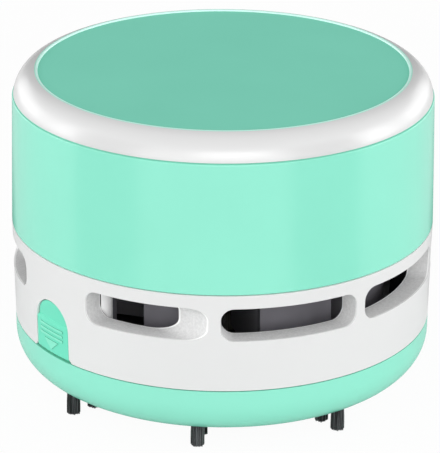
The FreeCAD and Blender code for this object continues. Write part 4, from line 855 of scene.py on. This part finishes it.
def filter_cloth():
    mesh = bmesh.new()
    count, rings = 96, 16
    middle = mesh.verts.new((0, 0, (FILTER_HEIGHT - FILTER_SAG) * MM))
    circles = []
    for ring in range(1, rings + 1):
        radius = FILTER_RADIUS * ring / rings
        sag = FILTER_SAG * (1 - (radius / FILTER_RADIUS) ** 2)
        circle = []
        for step in range(count):
            angle = math.tau * step / count
            ripple = FILTER_RIPPLE * math.sin(angle * 6 + radius) * (1 - radius / FILTER_RADIUS)
            circle.append(mesh.verts.new((radius * math.cos(angle) * MM, radius * math.sin(angle) * MM,
                                          (FILTER_HEIGHT - sag + ripple) * MM)))
        circles.append(circle)
    for step in range(count):
        following = (step + 1) % count
        mesh.faces.new((middle, circles[0][step], circles[0][following]))
        for inner, outer in zip(circles, circles[1:]):
            mesh.faces.new((inner[step], outer[step], outer[following], inner[following]))
    cloth = finish_piece("filter_cloth", mesh, filter_weave, 60)
    thick = cloth.modifiers.new("thickness", "SOLIDIFY")
    thick.thickness = FILTER_THICKNESS * MM
    thick.offset = 0
    return cloth


cloth = filter_cloth()
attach(cloth, "main_body")
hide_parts("filter_mesh")
print("filter cloth:", len(cloth.data.polygons), "faces")


# %% Foam pads
PAD_SIZE = (35.6, 4.9, 4.49)
PAD_OFFSET = 17.1
PAD_HEIGHT = 60.945
PAD_ROUNDING = 0.7
PAD_BULGE = 0.05
PAD_WAVER = 0.02


def foam_pads():
    mesh = bmesh.new()
    for side in (-1, 1):
        block = bmesh.ops.create_cube(mesh, size=1.0)["verts"]
        bmesh.ops.scale(mesh, vec=[length * MM for length in PAD_SIZE], verts=block)
        bmesh.ops.translate(mesh, vec=(0, PAD_OFFSET * side * MM, PAD_HEIGHT * MM), verts=block)
    bmesh.ops.bevel(mesh, geom=mesh.edges[:], offset=PAD_ROUNDING * MM, segments=3, affect="EDGES")
    long_edges = [edge for edge in mesh.edges if edge.calc_length() > 2 * MM]
    bmesh.ops.subdivide_edges(mesh, edges=long_edges, cuts=9, use_grid_fill=True)
    for corner in mesh.verts:
        rise = (corner.co.z - PAD_HEIGHT * MM) / (PAD_SIZE[2] / 2 * MM)
        middle = PAD_OFFSET * MM * (1 if corner.co.y > 0 else -1)
        waver = math.sin(corner.co.x * 900) * PAD_WAVER
        bulge = (1 - rise ** 2) * (PAD_BULGE + waver)
        corner.co.y = middle + (corner.co.y - middle) * (1 + bulge)
    bmesh.ops.recalc_face_normals(mesh, faces=mesh.faces)
    return finish_piece("foam_pads", mesh, pad_foam, 50)


pads = foam_pads()
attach(pads, "lid")
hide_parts("battery_pads")
print("foam pads:", len(pads.data.polygons), "faces")

# %% [markdown]
# ## Stage and light
#
# The photograph has a white ground and soft light from all sides, stronger from the sides than from
# above and weakest from behind. So the sky is bright at the horizon, and dimmer overhead and at the back.
# The camera sees the sky as plain white, and the pale floor as nearly white paper with a trace of shadow.


# %% Floor
PAPER_SHARE = 0.96


def add_floor():
    mesh = bpy.data.meshes.new("floor")
    half = 2.0
    corners = [(-half, -half, 0), (half, -half, 0), (half, half, 0), (-half, half, 0)]
    mesh.from_pydata(corners, [], [(0, 1, 2, 3)])
    floor = bpy.data.objects.new("floor", mesh)
    bpy.context.scene.collection.objects.link(floor)
    finish = Finish("pale_floor")
    finish.set(Base_Color=linear(228, 228, 228), Roughness=0.9)
    seen = finish.node("ShaderNodeLightPath").outputs["Is Camera Ray"]
    paper = finish.node("ShaderNodeEmission", {}, {"Color": (1, 1, 1, 1), "Strength": 1.0})
    share = Signal(finish, seen) * PAPER_SHARE
    mix = finish.node("ShaderNodeMixShader", {}, {0: share})
    finish.tree.links.new(finish.shader.outputs[0], mix.inputs[1])
    finish.tree.links.new(paper.outputs[0], mix.inputs[2])
    finish.tree.links.new(mix.outputs[0], finish.output.inputs[0])
    mesh.materials.append(finish.material)


add_floor()


# %% Sky
def add_world(horizon, zenith, behind):
    world = bpy.data.worlds.new("studio")
    bpy.context.scene.world = world
    world.use_nodes = True
    tree = world.node_tree
    tree.nodes.clear()
    output = tree.nodes.new("ShaderNodeOutputWorld")
    mix = tree.nodes.new("ShaderNodeMixShader")
    lit = tree.nodes.new("ShaderNodeBackground")
    seen = tree.nodes.new("ShaderNodeBackground")
    path = tree.nodes.new("ShaderNodeLightPath")
    way = tree.nodes.new("ShaderNodeTexCoord")
    parts = tree.nodes.new("ShaderNodeSeparateXYZ")
    level = tree.nodes.new("ShaderNodeMapRange")
    depth = tree.nodes.new("ShaderNodeMapRange")
    both = tree.nodes.new("ShaderNodeMath")
    both.operation = "MULTIPLY"
    for ramp, values in ((level, (0.0, 0.8, horizon, zenith)), (depth, (0.3, 0.92, 1.0, behind))):
        for socket, value in zip(("From Min", "From Max", "To Min", "To Max"), values):
            ramp.inputs[socket].default_value = value
    tree.links.new(way.outputs["Generated"], parts.inputs[0])
    tree.links.new(parts.outputs["Z"], level.inputs["Value"])
    tree.links.new(parts.outputs["Y"], depth.inputs["Value"])
    tree.links.new(level.outputs["Result"], both.inputs[0])
    tree.links.new(depth.outputs["Result"], both.inputs[1])
    tree.links.new(both.outputs[0], lit.inputs["Strength"])
    for background in (lit, seen):
        background.inputs["Color"].default_value = (1, 1, 1, 1)
    tree.links.new(path.outputs["Is Camera Ray"], mix.inputs[0])
    tree.links.new(lit.outputs[0], mix.inputs[1])
    tree.links.new(seen.outputs[0], mix.inputs[2])
    tree.links.new(mix.outputs[0], output.inputs[0])


add_world(horizon=1.6, zenith=0.58, behind=0.13)


# %% Lamps
BODY_MIDDLE = (0, 0, 0.035)


def add_lamp(name, place, size, power):
    """A rectangular softbox turned towards the middle of the body."""
    data = bpy.data.lights.new(name, "AREA")
    data.shape = "RECTANGLE"
    data.size, data.size_y = size
    data.energy = power
    lamp = bpy.data.objects.new(name, data)
    bpy.context.scene.collection.objects.link(lamp)
    way = Vector(BODY_MIDDLE) - Vector(place)
    lamp.matrix_world = Matrix.Translation(place) @ way.to_track_quat("-Z", "Y").to_matrix().to_4x4()


add_lamp("left_softbox", (-1.0, -0.25, 0.3), (0.9, 0.7), 2.6)
add_lamp("right_softbox", (1.0, -0.25, 0.3), (0.9, 0.7), 2.6)
add_lamp("left_rim_softbox", (-0.86, 0.84, 0.25), (0.85, 0.5), 1.62)
add_lamp("right_rim_softbox", (0.86, 0.84, 0.25), (0.85, 0.5), 1.62)
add_lamp("front_softbox", (0.1, -1.0, 0.5), (0.7, 0.45), 2.0)


# %% [markdown]
# The photograph's mint wall has two soft darker bands, left and right of its middle, and every outline is
# dark. They are reflections of dark studio flags. So two curved flags stand beside the body and one lies on
# the ground behind it, where only reflections can see them.


# %% Flags
def add_flag(name, columns):
    """A dark sheet through columns of (lower, upper) corners, for reflections alone."""
    mesh = bmesh.new()
    columns = [(mesh.verts.new(lower), mesh.verts.new(upper)) for lower, upper in columns]
    for here, there in zip(columns, columns[1:]):
        mesh.faces.new((here[0], there[0], there[1], here[1]))
    flag = finish_piece(name, mesh, black_plastic)
    for ray in ("camera", "diffuse", "shadow", "transmission", "volume_scatter"):
        setattr(flag, "visible_" + ray, False)


def curved_columns(start, end, radius=0.1, top=0.11, count=24):
    headings = [start + (end - start) * step / count for step in range(count + 1)]
    return [(polar(radius, heading, 0.001), polar(radius, heading, top)) for heading in headings]


FRONT = -90
add_flag("left_flag", curved_columns(FRONT - 68.5, FRONT - 36.5))
add_flag("right_flag", curved_columns(FRONT + 29.5, FRONT + 63))
add_flag("ground_flag", [((x, 0.03, 0.001), (x, 0.3, 0.001)) for x in (-0.08, 0.08)])
bpy.context.scene.view_settings.view_transform = "Standard"
print("lamps:", [item.name for item in bpy.data.lights])
